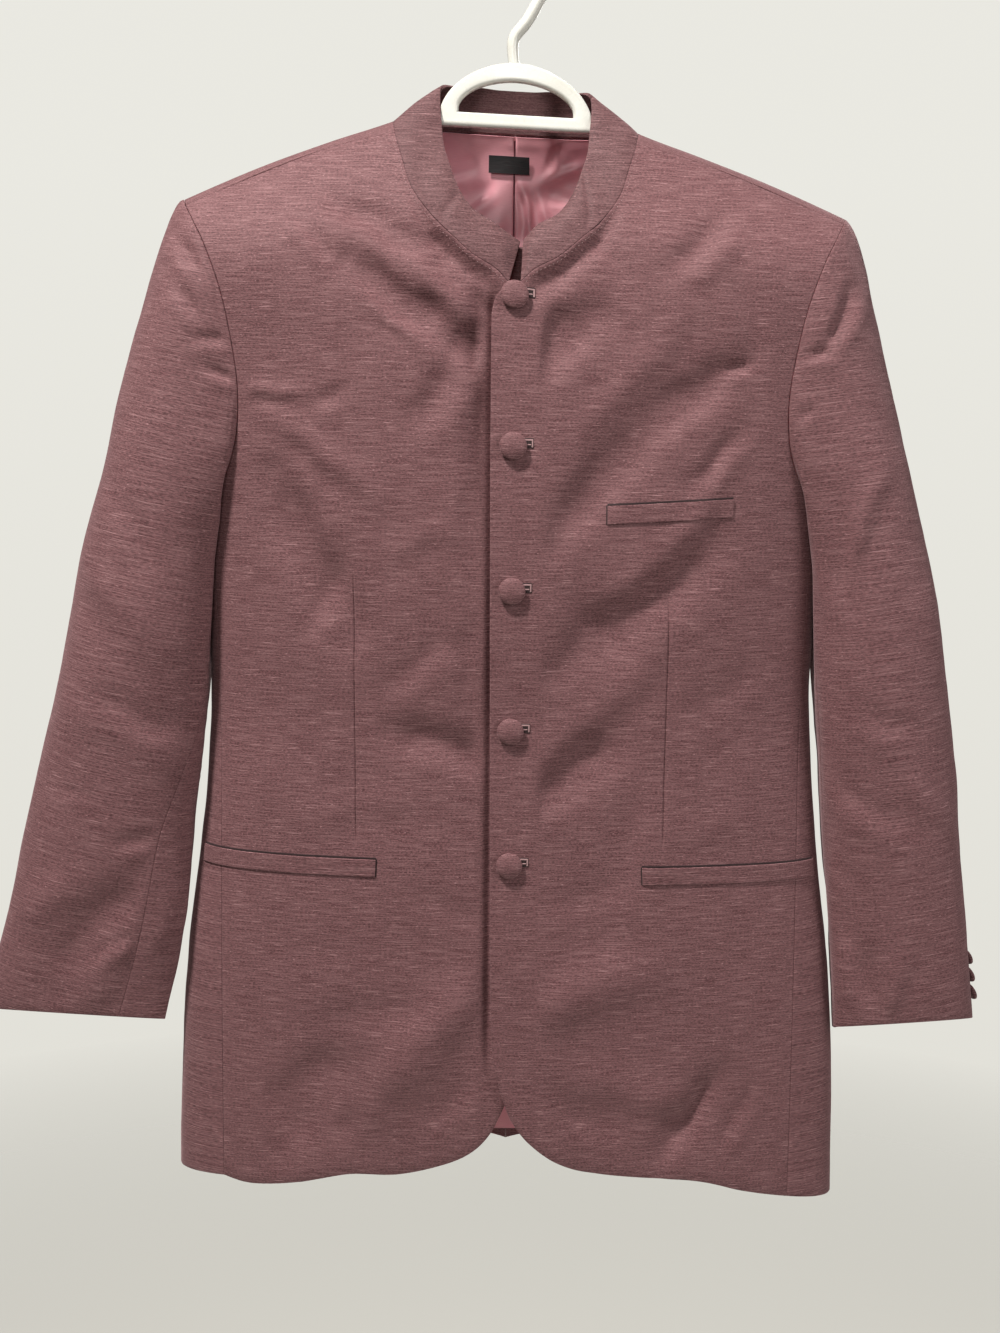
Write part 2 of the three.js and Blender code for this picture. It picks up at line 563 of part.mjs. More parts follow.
// The back half is laid out with x across and z as the drop from the ridge.
function backPanel(side) {
  const centre = (z) => ({ x: HALF_GAP, z: dropAt(HALF_GAP, z, 'back') });
  const low = steps(BACK_HEM_Z, BACK_MIDDLE_Z, BACK_LOW_ROWS).map(centre);
  const neckZ = NECK[NECK_LAST_ROW].z;
  const high = steps(1, 0, BACK_HIGH_ROWS).map((s) => (
    centre(neckZ + (BACK_MIDDLE_Z - neckZ) * s ** ROUND_SPACING)));
  const neckAt = (row) => ({ x: Math.max(atRow(NECK_DROPS, 'x', row), HALF_GAP), z: atRow(NECK_DROPS, 'drop', row) });
  const neck = steps(NECK_LAST_ROW, NECK_RIDGE_ROW, BACK_NECK_ROWS).map(neckAt);
  const over = steps(NECK_RIDGE_ROW, NECK_SHOULDER_ROW, OVER_RIDGE_ROWS).map(neckAt);
  const left = [...low, ...high.slice(1), ...neck.slice(1), ...over.slice(1)];
  const seam = steps(SIDE_HEM[side].back, BACK_PITCH.z, BACK_LOW_ROWS).map((z) => {
    const x = look(BACK_SIDE_SEAM, 'z', z, 'x') - HALF_GAP;
    return { x, z: dropAt(x, z, 'back') };
  });
  const armhole = ARMHOLE.back.map((row) => ({ x: row.x - HALF_GAP, z: row.drop }));
  const ridge = ARMHOLE.overRidge.map((row) => ({ x: row.x - HALF_GAP, z: row.drop }));
  const right = [...seam, ...armhole.slice(1), ...ridge.slice(1)];
  const bottom = spaced([left[0], right[0]], BACK_COLUMNS);
  const shoulder = spaced(SHOULDER_SEAM, BACK_COLUMNS).map((spot) => (
    { x: spot.x, z: dropAt(spot.x, spot.z + HALF_GAP, 'front') }));
  shoulder[0] = left[left.length - 1];
  shoulder[BACK_COLUMNS] = right[right.length - 1];
  const grid = filled(left, right, bottom, shoulder);
  const places = grid.map((row, i) => row.map((spot) => (
    shoulderPlace(side, spot.x, spot.z + (i === grid.length - 1 ? SEAM_GAP : 0)))));
  return clothWall(places, BODY_WALL, side);
}

const NECK_DROPS = NECK.map((row) => (
  { x: row.x, drop: row.face === 'ridge' ? 0 : dropAt(row.x, row.z, row.face) }));

// Sleeves

// Half the body's width at a height and depth, for keeping a sleeve clear of it.
function bodyEdge(y, z) {
  const side = look(BODY, 'z', z, 'side');
  const reach = Math.abs(look(BODY, 'z', z, y < side ? 'front' : 'back') - side);
  const share = Math.abs(y - side) / reach;
  return share >= 1 ? 0 : look(BODY, 'z', z, 'halfWidth') * (1 - share ** SECTION_POWER) ** (1 / SECTION_POWER);
}

// A point moved sideways out of the body; the share grows from 0 at the armhole to 1 where the
// sleeve hangs free, and with it the clearance and the softness of the bend.
function keptClear(point, share) {
  const freed = (1 - smooth(CLEAR_BELOW_Z, CLEAR_ABOVE_Z, point.z));
  const edge = (bodyEdge(point.y, point.z) + SEAM_GAP + (BODY_CLEARANCE - SEAM_GAP) * share) * freed;
  const blend = CLEARANCE_BLEND.start + (CLEARANCE_BLEND.free - CLEARANCE_BLEND.start) * share;
  const beyond = (point.x - edge) / blend;
  const x = Math.max(point.x, edge) + blend * Math.log1p(Math.exp(-Math.abs(beyond)));
  return new THREE.Vector3(x, point.y, point.z);
}

function ringPoint(rings, turn, place) {
  const angle = 2 * Math.PI * turn;
  const bow = (value) => Math.sign(value) * Math.abs(value) ** (2 / RING_POWER);
  const across = (1 - bow(Math.cos(angle))) / 2;
  const at = (name) => atRow(rings, name, place);
  const x = at('outX') + (at('inX') - at('outX')) * across;
  const z = at('outZ') + (at('inZ') - at('outZ')) * across;
  const forward = bow(Math.sin(angle));
  const y = (at('front') + at('back')) / 2 + ((at('front') - at('back')) / 2) * forward;
  return new THREE.Vector3(x, y, z + at('rise') * forward);
}

// The start of the sleeve at each mesh place of the armhole, and its place round the edge.
function armholeStarts(side) {
  const loop = [...ARMHOLE.overRidge, ...ARMHOLE.front.slice(1), ...ARMHOLE.under.slice(1), ...ARMHOLE.back.slice(1)];
  const places = loop.map((entry) => edgePlace(side, entry));
  const lengths = [0];
  places.slice(1).forEach((place, i) => lengths.push(lengths[i] + place.point.distanceTo(places[i].point)));
  const total = lengths[lengths.length - 1];
  return places.slice(0, -1).map((place, i) => {
    const after = places[i + 1].point;
    const before = places[i === 0 ? places.length - 2 : i - 1].point;
    const tangent = after.clone().sub(before).normalize();
    const turn = lengths[i] / total;
    const inwards = place.normal.clone().cross(tangent).normalize();
    const extra = SLEEVES[side].capAngle * Math.max(Math.cos(2 * Math.PI * turn), 0) ** 2;
    const angle = THREE.MathUtils.degToRad(look(LEAVING, 'turn', turn, 'angle') + extra);
    const leaving = inwards.clone().multiplyScalar(Math.cos(angle)).addScaledVector(place.normal, Math.sin(angle));
    const rise = SEAM_GAP * (1 - Math.cos(angle)) * ARMHOLE_LIFT;
    const point = place.point.clone().addScaledVector(inwards, HALF_GAP).addScaledVector(place.normal, rise);
    const normal = place.normal.clone().multiplyScalar(Math.cos(angle)).addScaledVector(inwards, -Math.sin(angle));
    return { turn, point, normal, rate: leaving.multiplyScalar(look(LEAVING, 'turn', turn, 'reach')) };
  });
}

// A point of the sleeve down the length t, on the line that starts at one armhole place.
function sleevePoint(side, start, turn, t) {
  const { rings } = SLEEVES[side];
  const last = rings.length - 1;
  if (t >= CAP_SHARE) {
    return keptClear(ringPoint(rings, turn, (last * (t - CAP_SHARE)) / (1 - CAP_SHARE)), 1);
  }
  const s = t / CAP_SHARE;
  const end = ringPoint(rings, turn, 0);
  const rate = ringPoint(rings, turn, RATE_STEP).sub(end);
  rate.setLength(CAP_RATE * end.distanceTo(start.point));
  const axis = (name) => hermite(start.point[name], start.rate[name], end[name], rate[name], s);
  const point = new THREE.Vector3(axis('x'), axis('y'), axis('z'));
  return s === 0 ? point : keptClear(point, smooth(0, 1, s));
}

function sleeveGrid(side) {
  const starts = armholeStarts(side);
  const rows = [...steps(0, CAP_SHARE, CAP_ROWS), ...steps(CAP_SHARE, 1, SLEEVE_ROWS).slice(1)];
  const { seams } = SLEEVES[side];
  const nearest = (turn) => starts.reduce((best, start, i) => (
    Math.abs(start.turn - turn) < Math.abs(starts[best].turn - turn) ? i : best), 0);
  const frontColumn = nearest(seams[0].front);
  const backColumn = nearest(seams[0].back);
  const firstTurns = { front: starts[frontColumn].turn, back: starts[backColumn].turn };
  const seamTurn = (name, t) => look(seams, 't', t, name) + (firstTurns[name] - seams[0][name]) * (1 - t) ** 4;
  const grid = (columns) => rows.map((t) => columns.map((column) => {
    const start = starts[column % starts.length];
    const lap = Math.floor(column / starts.length);
    const own = start.turn + lap;
    const inUnder = column >= frontColumn && column <= backColumn;
    const from = inUnder ? 'front' : 'back';
    const to = inUnder ? 'back' : 'front';
    const startTurn = firstTurns[from];
    const endTurn = firstTurns[to] + (inUnder ? 0 : 1);
    const share = (own - startTurn) / (endTurn - startTurn);
    const low = seamTurn(from, t);
    const high = seamTurn(to, t) + (inUnder ? 0 : 1);
    return sleevePoint(side, start, low + (high - low) * share, t);
  }));
  const columnsFrom = (first, last) => Array.from({ length: last - first + 1 }, (unused, i) => first + i);
  const underColumns = columnsFrom(frontColumn, backColumn);
  const topColumns = columnsFrom(backColumn, frontColumn + starts.length);
  const under = grid(underColumns);
  const top = grid(topColumns);
  const firstRow = (columns) => columns.map((column) => starts[column % starts.length].normal);
  return {
    under: { points: under, normals: [firstRow(underColumns), ...gridNormals(under, top).slice(1)] },
    top: { points: top, normals: [firstRow(topColumns), ...gridNormals(top, under).slice(1)] },
  };
}

// Outward normals of a grid of points whose first and last columns are also those of its neighbour.
function gridNormals(points, neighbour) {
  const column = (row, j) => {
    if (j < 0) return neighbour[row][neighbour[row].length - 2];
    return j >= points[row].length ? neighbour[row][1] : points[row][j];
  };
  return points.map((row, i) => row.map((unused, j) => {
    const low = points[Math.max(i - 1, 0)][j];
    const high = points[Math.min(i + 1, points.length - 1)][j];
    const around = column(i, j + 1).clone().sub(column(i, j - 1));
    return around.cross(high.clone().sub(low)).normalize();
  }));
}

function sleevePiece({ points, normals }, side) {
  const last = points[0].length - 1;
  const places = points.map((row, i) => row.map((point, j) => {
    const towards = j === 0 ? row[1] : row[last - 1];
    const trimmed = point.clone();
    if (j === 0 || j === last) {
      trimmed.addScaledVector(towards.clone().sub(point).normalize(), HALF_GAP);
    }
    return { point: trimmed, normal: normals[i][j] };
  }));
  return clothWall(places, SLEEVE_WALL, side);
}

function sleevePieces(side) {
  const { top, under } = sleeveGrid(side);
  return {
    top: sleevePiece(top, side),
    under: sleevePiece(under, side),
    seamPoints: under.points.map((row) => row[row.length - 1]),
    seamNormals: under.normals.map((row) => row[row.length - 1]),
  };
}

// Collar

function collarHalf(side) {
  const columns = [...steps(0, NECK_SHOULDER_ROW, NECK_ROWS),
    ...steps(NECK_SHOULDER_ROW, NECK_RIDGE_ROW, OVER_RIDGE_ROWS).slice(1),
    ...steps(NECK_RIDGE_ROW, NECK_LAST_ROW, BACK_NECK_ROWS).slice(1)];
  const table = side === 'left' ? NECK : [{ ...NECK[0], ...COLLAR_RIGHT_END }, ...NECK.slice(1)];
  const mirror = side === 'left' ? 1 : -1;
  return columns.map((row) => {
    const place = shoulderPlace(side, atRow(NECK_DROPS, 'x', row), atRow(NECK_DROPS, 'drop', row));
    const top = new THREE.Vector3(atRow(table, 'topX', row), atRow(table, 'topY', row), atRow(table, 'topZ', row));
    const rise = top.clone().sub(place.point).normalize();
    const bottom = place.point.clone().addScaledVector(rise, SEAM_GAP);
    for (const vector of [bottom, top, place.normal]) vector.x *= mirror;
    return { bottom, top, base: place.normal };
  });
}

function collarBand() {
  const ribs = [...collarHalf('left'), ...collarHalf('right').reverse().slice(1)];
  const outer = steps(0, 1, COLLAR_ROWS).map((s) => ribs.map((rib) => rib.bottom.clone().lerp(rib.top, s)));
  const normals = outer.map((row, i) => row.map((unused, j) => {
    const low = outer[Math.max(i - 1, 0)][j];
    const high = outer[Math.min(i + 1, COLLAR_ROWS)][j];
    const around = row[Math.min(j + 1, row.length - 1)].clone().sub(row[Math.max(j - 1, 0)]);
    return around.cross(high.clone().sub(low)).normalize();
  }));
  const inner = outer.map((row, i) => row.map((point, j) => (i === 0
    ? point.clone().addScaledVector(ribs[j].base, -BODY_WALL)
    : point.clone().addScaledVector(normals[i][j], -COLLAR_WALL))));
  return wall(outer, inner, 'left');
}

// What is laid on the panels

function breastWelt() {
  const { x0, z0, x1, z1, height, columns } = BREAST_WELT;
  const places = steps(-height / 2, height / 2, 2).map((up) => steps(0, 1, columns).map((s) => (
    frontPlace('left', x0 + (x1 - x0) * s, z0 + (z1 - z0) * s + up))));
  return clothWall(places, WELT_WALL, 'left', -LAID_GAP - WELT_WALL);
}

function pocketWelt(side) {
  const { x0, z0, z1 } = POCKET_WELT[side];
  const from = turnAt(x0, z0, 'front');
  const to = turnAt(look(FRONT_SIDE_SEAM, 'z', z1, 'x'), z1, 'front') + POCKET_WELT.beyondSeam / CLOTH_PER_RADIAN;
  const half = POCKET_WELT.height / 2;
  const places = steps(-half, half, 2).map((up) => steps(0, 1, POCKET_WELT.columns).map((s) => {
    const turn = from + (to - from) * (1 - (1 - s) ** POCKET_WELT.spacing);
    return sidePlace(side, turn, z0 + (z1 - z0) * s + up);
  }));
  return clothWall(places, WELT_WALL, side, -LAID_GAP - WELT_WALL);
}

function backLining() {
  const halfWidthAt = (z) => {
    const table = z < BACK_PITCH.z ? BACK_SIDE_SEAM : ARMHOLE_BACK;
    return look(table, 'z', Math.min(z, LINING_SHOULDER_Z), 'x') - LINING_SIDE_INSET;
  };
  const levels = steps(1, 0, LINING_ROWS).map((s) => 1 - s ** ROUND_SPACING);
  const places = levels.map((v) => steps(-1, 1, LINING_COLUMNS).map((u) => {
    const levelZ = LINING_HEM_Z + (LINING_NECK_Z - LINING_HEM_Z) * v;
    const x = u * halfWidthAt(levelZ);
    const size = Math.abs(x);
    const bottom = dropAt(size, LINING_HEM_Z, 'back');
    const top = Math.max(dropAt(size, LINING_NECK_Z, 'back'), LINING_RIDGE_DROP);
    const place = shoulderPlace('left', size, bottom + (top - bottom) * v);
    place.point.x *= Math.sign(x);
    place.normal.x *= Math.sign(x);
    return place;
  }));
  return clothWall(places, LINING_WALL, 'left', BODY_WALL + LINING_GAP);
}

function neckLabel() {
  const inset = BODY_WALL + LINING_GAP + LINING_WALL + 2 * LAID_GAP;
  const places = steps(LABEL.z0, LABEL.z1, 2).map((z) => steps(LABEL.x0, LABEL.x1, 4).map((x) => {
    const place = shoulderPlace('left', Math.abs(x), dropAt(Math.abs(x), z, 'back'));
    place.point.x = x;
    place.normal.x *= Math.sign(x);
    return place;
  }));
  return clothWall(places, LABEL_WALL, 'left', inset);
}

// A covered button: a flat back and a domed front, its axis along +Z, its back at z = 0.
function buttonGeometry({ radius, height, sides }) {
  const profile = [[0, 0], [radius * 0.93, 0], [radius, height * 0.35], [radius * 0.93, height * 0.66],
    [radius * 0.6, height * 0.93], [0, height]];
  const lathe = new THREE.LatheGeometry(profile.map(([r, y]) => new THREE.Vector2(r, y)), sides);
  return welded(lathe.rotateX(Math.PI / 2));
}

function welded(geometry) {
  const plain = geometry.clone();
  plain.deleteAttribute('normal');
  plain.deleteAttribute('uv');
  return mergeVertices(plain, 1e-4);
}

function placedButton(name, size, point, normal) {
  const mesh = new THREE.Mesh(buttonGeometry(size), new THREE.MeshStandardMaterial(CLOTH));
  mesh.name = name;
  mesh.position.copy(point);
  mesh.quaternion.setFromUnitVectors(new THREE.Vector3(0, 0, 1), normal);
  return mesh;
}

function frontButtons() {
  return BUTTON_HEIGHTS.map((z, i) => {
    const { point, normal } = frontPlace('left', 0, z);
    return placedButton(`front_button_${i + 1}`, BUTTON, point.addScaledVector(normal, LAID_GAP), normal);
  });
}

// Three buttons down the elbow seam, each tilted so that its lower edge lies over the next one.
function cuffButtons(side, sleeve) {
  const mirror = side === 'right' ? -1 : 1;
  return CUFF_BUTTON_ROWS[side].map((z, i) => {
    let low = sleeve.seamPoints.findIndex((point) => point.z < z) - 1;
    low = Math.max(low, 0);
    const a = sleeve.seamPoints[low];
    const b = sleeve.seamPoints[low + 1];
    const share = (z - a.z) / (b.z - a.z);
    const down = b.clone().sub(a).normalize();
    const flat = sleeve.seamNormals[low].clone().lerp(sleeve.seamNormals[low + 1], share).normalize();
    const normal = flat.clone().addScaledVector(down, -CUFF_BUTTON_TILT).normalize();
    const point = a.clone().lerp(b, share).addScaledVector(flat, CUFF_BUTTON_SEAT + LAID_GAP);
    point.x *= mirror;
    normal.x *= mirror;
    return placedButton(`cuff_button_${side}_${i + 1}`, CUFF_BUTTON, point, normal);
  });
}

// Hanger

function archPoints(arch, lift) {
  return steps(0, Math.PI, arch.points).map((angle) => {
    const across = Math.sign(Math.cos(angle)) * Math.abs(Math.cos(angle)) ** (2 / arch.power);
    const up = Math.abs(Math.sin(angle)) ** (2 / arch.power);
    return new THREE.Vector2(arch.halfWidth * across, arch.foot + (arch.top - arch.foot) * up + lift(up));
  });
}

// The outline lies inside the finished moulding by the bevel, which the extrusion adds again.
function hangerOutline() {
  const armTop = (x) => ridgeZ(x) - ARM_DROP - HANGER_BEVEL;
  const top = ARM_XS.map((x) => new THREE.Vector2(x, armTop(x)));
  const under = [...top].reverse().map((point) => new THREE.Vector2(point.x, point.y - ARM_HEIGHT));
  const end = top[top.length - 1];
  const tip = new THREE.Vector2(end.x + ARM_TIP.outX, end.y - ARM_TIP.downZ);
  const root = ARM_ROOT.map(({ x, z }) => new THREE.Vector2(x, z));
  const half = [...root, ...top, tip, ...under, new THREE.Vector2(BAR_END_X, BAR_BOTTOM_Z + HANGER_BEVEL)];
  const mirrored = [...half].reverse().map((point) => new THREE.Vector2(-point.x, point.y));
  const outer = archPoints(ARCH_OUTER, () => -HANGER_BEVEL).reverse();
  const shape = new THREE.Shape([...half, ...mirrored, ...outer]);
  const inner = archPoints(ARCH_INNER, (up) => (up > HOLE_FOOT_SHARE ? HANGER_BEVEL : -HANGER_BEVEL));
  shape.holes.push(new THREE.Path(inner));
  return shape;
}

function hangerBody() {
  const body = new THREE.ExtrudeGeometry(hangerOutline(), {
    depth: HANGER_DEPTH - 2 * HANGER_BEVEL,
    bevelEnabled: true,
    bevelThickness: HANGER_BEVEL,
    bevelSize: HANGER_BEVEL,
    bevelSegments: 2,
  });
  body.rotateX(Math.PI / 2);
  return body.translate(0, HANGER_DEPTH / 2 - HANGER_BEVEL, 0);
}

function hookCurve() {
  const arc = steps(HOOK.startAngle, HOOK.endAngle, HOOK.arcPoints).map((degrees) => {
    const angle = THREE.MathUtils.degToRad(degrees);
    return new THREE.Vector3(HOOK.radius * Math.cos(angle), 0, HOOK_CENTRE_Z + HOOK.radius * Math.sin(angle));
  });
  const stem = STEM.map(({ x, z }) => new THREE.Vector3(x, 0, z));
  return new THREE.CatmullRomCurve3([...stem, ...arc]);
}

function hookRod() {
  const circle = steps(0, 2 * Math.PI, HOOK.sides).slice(0, -1).map((angle) => (
    new THREE.Vector2(HOOK.rod * Math.cos(angle), HOOK.rod * Math.sin(angle))));
  const path = hookCurve();
  const rod = new THREE.ExtrudeGeometry(new THREE.Shape(circle), {
    steps: HOOK.steps, bevelEnabled: false, extrudePath: path,
  });
  const tip = new THREE.SphereGeometry(HOOK.rod, HOOK.sides, 6);
  tip.translate(...path.getPoint(1).toArray());
  return { rod, tip };
}

function solidOf(wasm, geometry) {
  const merged = welded(geometry);
  return new wasm.Manifold(new wasm.Mesh({
    numProp: 3,
    vertProperties: merged.getAttribute('position').array,
    triVerts: Uint32Array.from(merged.getIndex().array),
  }));
}

async function hangerGeometry() {
  const wasm = await Module();
  wasm.setup();
  const { rod, tip } = hookRod();
  const mesh = solidOf(wasm, hangerBody()).add(solidOf(wasm, rod)).add(solidOf(wasm, tip)).getMesh();
  const geometry = new THREE.BufferGeometry();
  geometry.setAttribute('position', new THREE.Float32BufferAttribute(mesh.vertProperties, 3));
  geometry.setIndex(Array.from(mesh.triVerts));
  return geometry;
}

// Assembly

const group = new THREE.Group();

// Moves every point down or up by its share of the lean.
function leaning(geometry) {
  const position = geometry.getAttribute('position');
  for (let i = 0; i < position.count; i += 1) {
    const z = position.getZ(i);
    const below = 1 - smooth(LEAN.archZ, LEAN.hookZ, z);
    const above = smooth(LEAN.chestZ, LEAN.shoulderZ, z);
    position.setZ(i, z - LEAN.drop * Math.tanh(position.getX(i) / LEAN.growX) * below * above);
  }
  return geometry;
}

function add(name, geometry, finish) {
  const mesh = new THREE.Mesh(leaning(geometry), new THREE.MeshStandardMaterial(finish));
  mesh.name = name;
  group.add(mesh);
}

for (const side of ['left', 'right']) {
  add(`front_${side}`, frontPanel(side), CLOTH);
  add(`side_${side}`, sidePanel(side), CLOTH);
  add(`back_${side}`, backPanel(side), CLOTH);
  const sleeve = sleevePieces(side);
  add(`sleeve_${side}_top`, sleeve.top, CLOTH);
  add(`sleeve_${side}_under`, sleeve.under, CLOTH);
  add(`pocket_welt_${side}`, pocketWelt(side), CLOTH);
  group.add(...cuffButtons(side, sleeve));
}
add('collar', collarBand(), CLOTH);
add('breast_welt', breastWelt(), CLOTH);
add('back_lining', backLining(), SATIN);
add('neck_label', neckLabel(), LABEL_CLOTH);
add('hanger', await hangerGeometry(), PLASTIC);
group.add(...frontButtons());

export default group;
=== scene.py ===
import math

import bmesh
import bpy
import numpy as np
from mathutils import Matrix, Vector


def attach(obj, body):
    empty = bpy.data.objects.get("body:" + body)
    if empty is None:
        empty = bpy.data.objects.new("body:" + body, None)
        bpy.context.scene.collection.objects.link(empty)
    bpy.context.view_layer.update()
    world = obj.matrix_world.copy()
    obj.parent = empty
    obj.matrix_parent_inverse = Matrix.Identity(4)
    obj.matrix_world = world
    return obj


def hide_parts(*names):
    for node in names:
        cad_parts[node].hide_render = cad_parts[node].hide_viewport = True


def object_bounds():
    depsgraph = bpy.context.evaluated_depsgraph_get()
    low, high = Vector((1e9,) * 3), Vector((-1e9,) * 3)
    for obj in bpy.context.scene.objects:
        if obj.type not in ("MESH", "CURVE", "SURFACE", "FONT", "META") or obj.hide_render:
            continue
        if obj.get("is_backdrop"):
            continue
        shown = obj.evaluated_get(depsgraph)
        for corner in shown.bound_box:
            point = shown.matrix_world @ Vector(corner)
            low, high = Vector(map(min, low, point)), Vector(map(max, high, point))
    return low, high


# A lined blazer with a stand collar on a moulded hanger. Tables are in millimetres in the part's
# frame, for the wearer's left (+X); the wearer's right is shaped there too and then mirrored.
# Meshes are made in metres.

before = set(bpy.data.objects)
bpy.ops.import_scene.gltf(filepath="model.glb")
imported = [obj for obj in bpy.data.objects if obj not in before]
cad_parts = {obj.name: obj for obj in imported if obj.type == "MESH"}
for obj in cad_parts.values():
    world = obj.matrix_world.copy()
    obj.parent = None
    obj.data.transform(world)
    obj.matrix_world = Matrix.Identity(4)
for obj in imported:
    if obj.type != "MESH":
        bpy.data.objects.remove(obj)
cad_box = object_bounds()

MM = 0.001


def table(columns, *rows):
    """A table as one array for each named column."""
    return {name: np.array([row[i] for row in rows], float) for i, name in enumerate(columns.split())}


# Cloth walls and gaps
BODY_WALL = 2
SLEEVE_WALL = 1.8
COLLAR_WALL = 2.4
LINING_WALL = 1
WELT_WALL = 1
LABEL_WALL = 0.8
SEAM_GAP = 0.06
HALF_GAP = SEAM_GAP / 2
LAID_GAP = 0.6
LINING_GAP = 1.2
EDGE_RADIUS = 0.6
EDGE_STEPS = (0.12, 0.4, 0.85)
EDGE_REACH_SHARE = 0.9
SHARP_ANGLE = math.radians(60)

# The left front over the right one
OVERLAP = 16
OVERLAP_LIFT = 3.8
UNDERLAP_SINK = 0.9
LIFT_FULL_X = 20
LIFT_END_X = 70

# The body's cross-section at each height
SECTION_POWER = 2.5
BODY = table(
    "z half_width front side back",
    (-960, 263.5, -49, 0, 35), (-880, 261, -52, 1, 38), (-814, 257.5, -54, 2, 39),
    (-745, 251, -56, 3, 40), (-672, 241, -57, 3, 40), (-570, 231, -58, 4, 38),
    (-500, 231.5, -63, 5, 41), (-432, 235, -66, 5, 43), (-400, 238.5, -67, 5, 44),
    (-345, 249, -67, 5, 45), (-300, 263, -66, 3, 46), (-250, 291, -63, 1, 46), (-220, 312, -58, 0, 46),
    (-203, 321, -51, 0, 46), (-184, 330, -43, 0, 46), (-160, 338, -35, 0, 47), (-120, 345, -24, 0, 49),
)
RIDGE = table(
    "x z",
    (-40, -113), (0, -107), (40, -113), (88, -134), (135, -150), (187, -169), (246, -194), (330, -232),
)
ROUNDING = 80
QUARTER = ROUNDING * math.pi / 2

# Seams, hems and edges as seen from the front: (x, z)
FRONT_EDGE = [(-12, -815), (-14, -700), (-16, -402)]
NECK_CORNER = {
    "left": [(-16, -272), (-13, -261), (-6, -253.5), (4, -250)],
    "right": [(-16, -266), (-15, -258), (-8, -253.5), (4, -250)],
}
HEM = {
    "left": [
        (-12, -815), (-9, -836), (-4, -857), (4, -878), (18, -897), (42, -915), (73, -924), (146, -931),
        (187, -942), (229, -950),
    ],
    "right": [
        (-12, -815), (-9, -834), (-4, -852), (4, -873), (14, -893), (29, -908), (51, -918), (84, -926),
        (122, -927), (162, -936), (200, -940), (229, -936),
    ],
}
SIDE_HEM = {"left": (-950, -957, -945), "right": (-936, -938, -937)}
BACK_HEM_Z = -935
FRONT_SIDE_SEAM = table("z x", (-960, 223), (-814, 221.5), (-672, 220), (-570, 219.5), (-404, 223))
BACK_SIDE_SEAM = table("z x", (-960, 226), (-814, 224), (-672, 219), (-570, 218), (-402, 224))
SHOULDER_SEAM = [(87, -144.5), (138, -157), (212, -186.5), (239, -197.5)]
ARMHOLE_FRONT = [
    (239, -197.5), (230.5, -211), (221, -228), (210.5, -255), (203.5, -285), (198.5, -320), (198.5, -345),
    (202, -367), (210, -387), (223, -404),
]
ARMHOLE_BACK = [
    (224, -402), (216, -385), (211, -362), (209, -330), (213, -285), (221, -245), (233, -212),
    (240, -197.5),
]
RIDGE_END_X = 243
UNDERARM_Z = -418
CLOTH_PER_RADIAN = 80
NORMAL_STEP = 0.2
TURN_STEP = 0.002

# The neck seam from the centre front over the ridge to the centre back, with the collar's top edge
NECK = table(
    "x z face top_x top_y top_z",
    (4, -250, -1, 5.5, -48, -219), (14, -240.5, -1, 16, -47, -207.5), (30, -231.5, -1, 31, -43, -198),
    (46, -217.5, -1, 41, -36, -183), (61, -203, -1, 47, -28, -167), (74, -184.5, -1, 51.5, -18, -152),
    (81, -164, -1, 53.5, -9, -134.5), (87, -144.5, -1, 55, -2, -117), (88, -134, 0, 54, 6, -106.5),
    (72, -133, 1, 44, 18, -104), (48, -132, 1, 28, 25.5, -102.5), (24, -132, 1, 14, 29, -103),
    (0, -132, 1, 0, 30, -103),
)
NECK_SHOULDER_ROW = 7
NECK_RIDGE_ROW = 8
NECK_LAST_ROW = 12
COLLAR_RIGHT_END = {"top_x": -4, "top_y": -46, "top_z": -220}

# Folds of each front; below zero is a trough
FOLD_COLUMNS = "x0 z0 x1 z1 width depth"
FOLDS = {
    "left": table(
        FOLD_COLUMNS,
        (-3, -316, 55, -272, 15, -3.5), (30, -428, 95, -348, 16, -3), (95, -348, 158, -297, 15, -2.5),
        (31, -527, 150, -438, 18, -3), (12, -628, 81, -578, 16, -2.5), (120, -905, 168, -846, 18, -2.5),
        (20, -788, 105, -757, 20, 2),
    ),
    "right": table(
        FOLD_COLUMNS,
        (124, -198, 52, -230, 12, -3.5), (114, -241, 45, -290, 13, -4), (45, -290, 18, -303, 11, -4),
        (178, -393, 120, -500, 20, -3.5), (90, -571, 18, -592, 13, -3), (102, -868, 26, -765, 20, 3),
        (176, -905, 128, -820, 22, -2.5),
    ),
}
FOLD_GAIN = 3.3
FOLD_WIDTH = 0.86
CREASE_GAIN = 2.3
FOLD_END_SHARE = 0.35
FOLD_TAPER = 0.3
FOLD_FREE_EDGE = 30
FOLD_FADE_SIDE = 175
FOLD_FREE_SIDE = 200

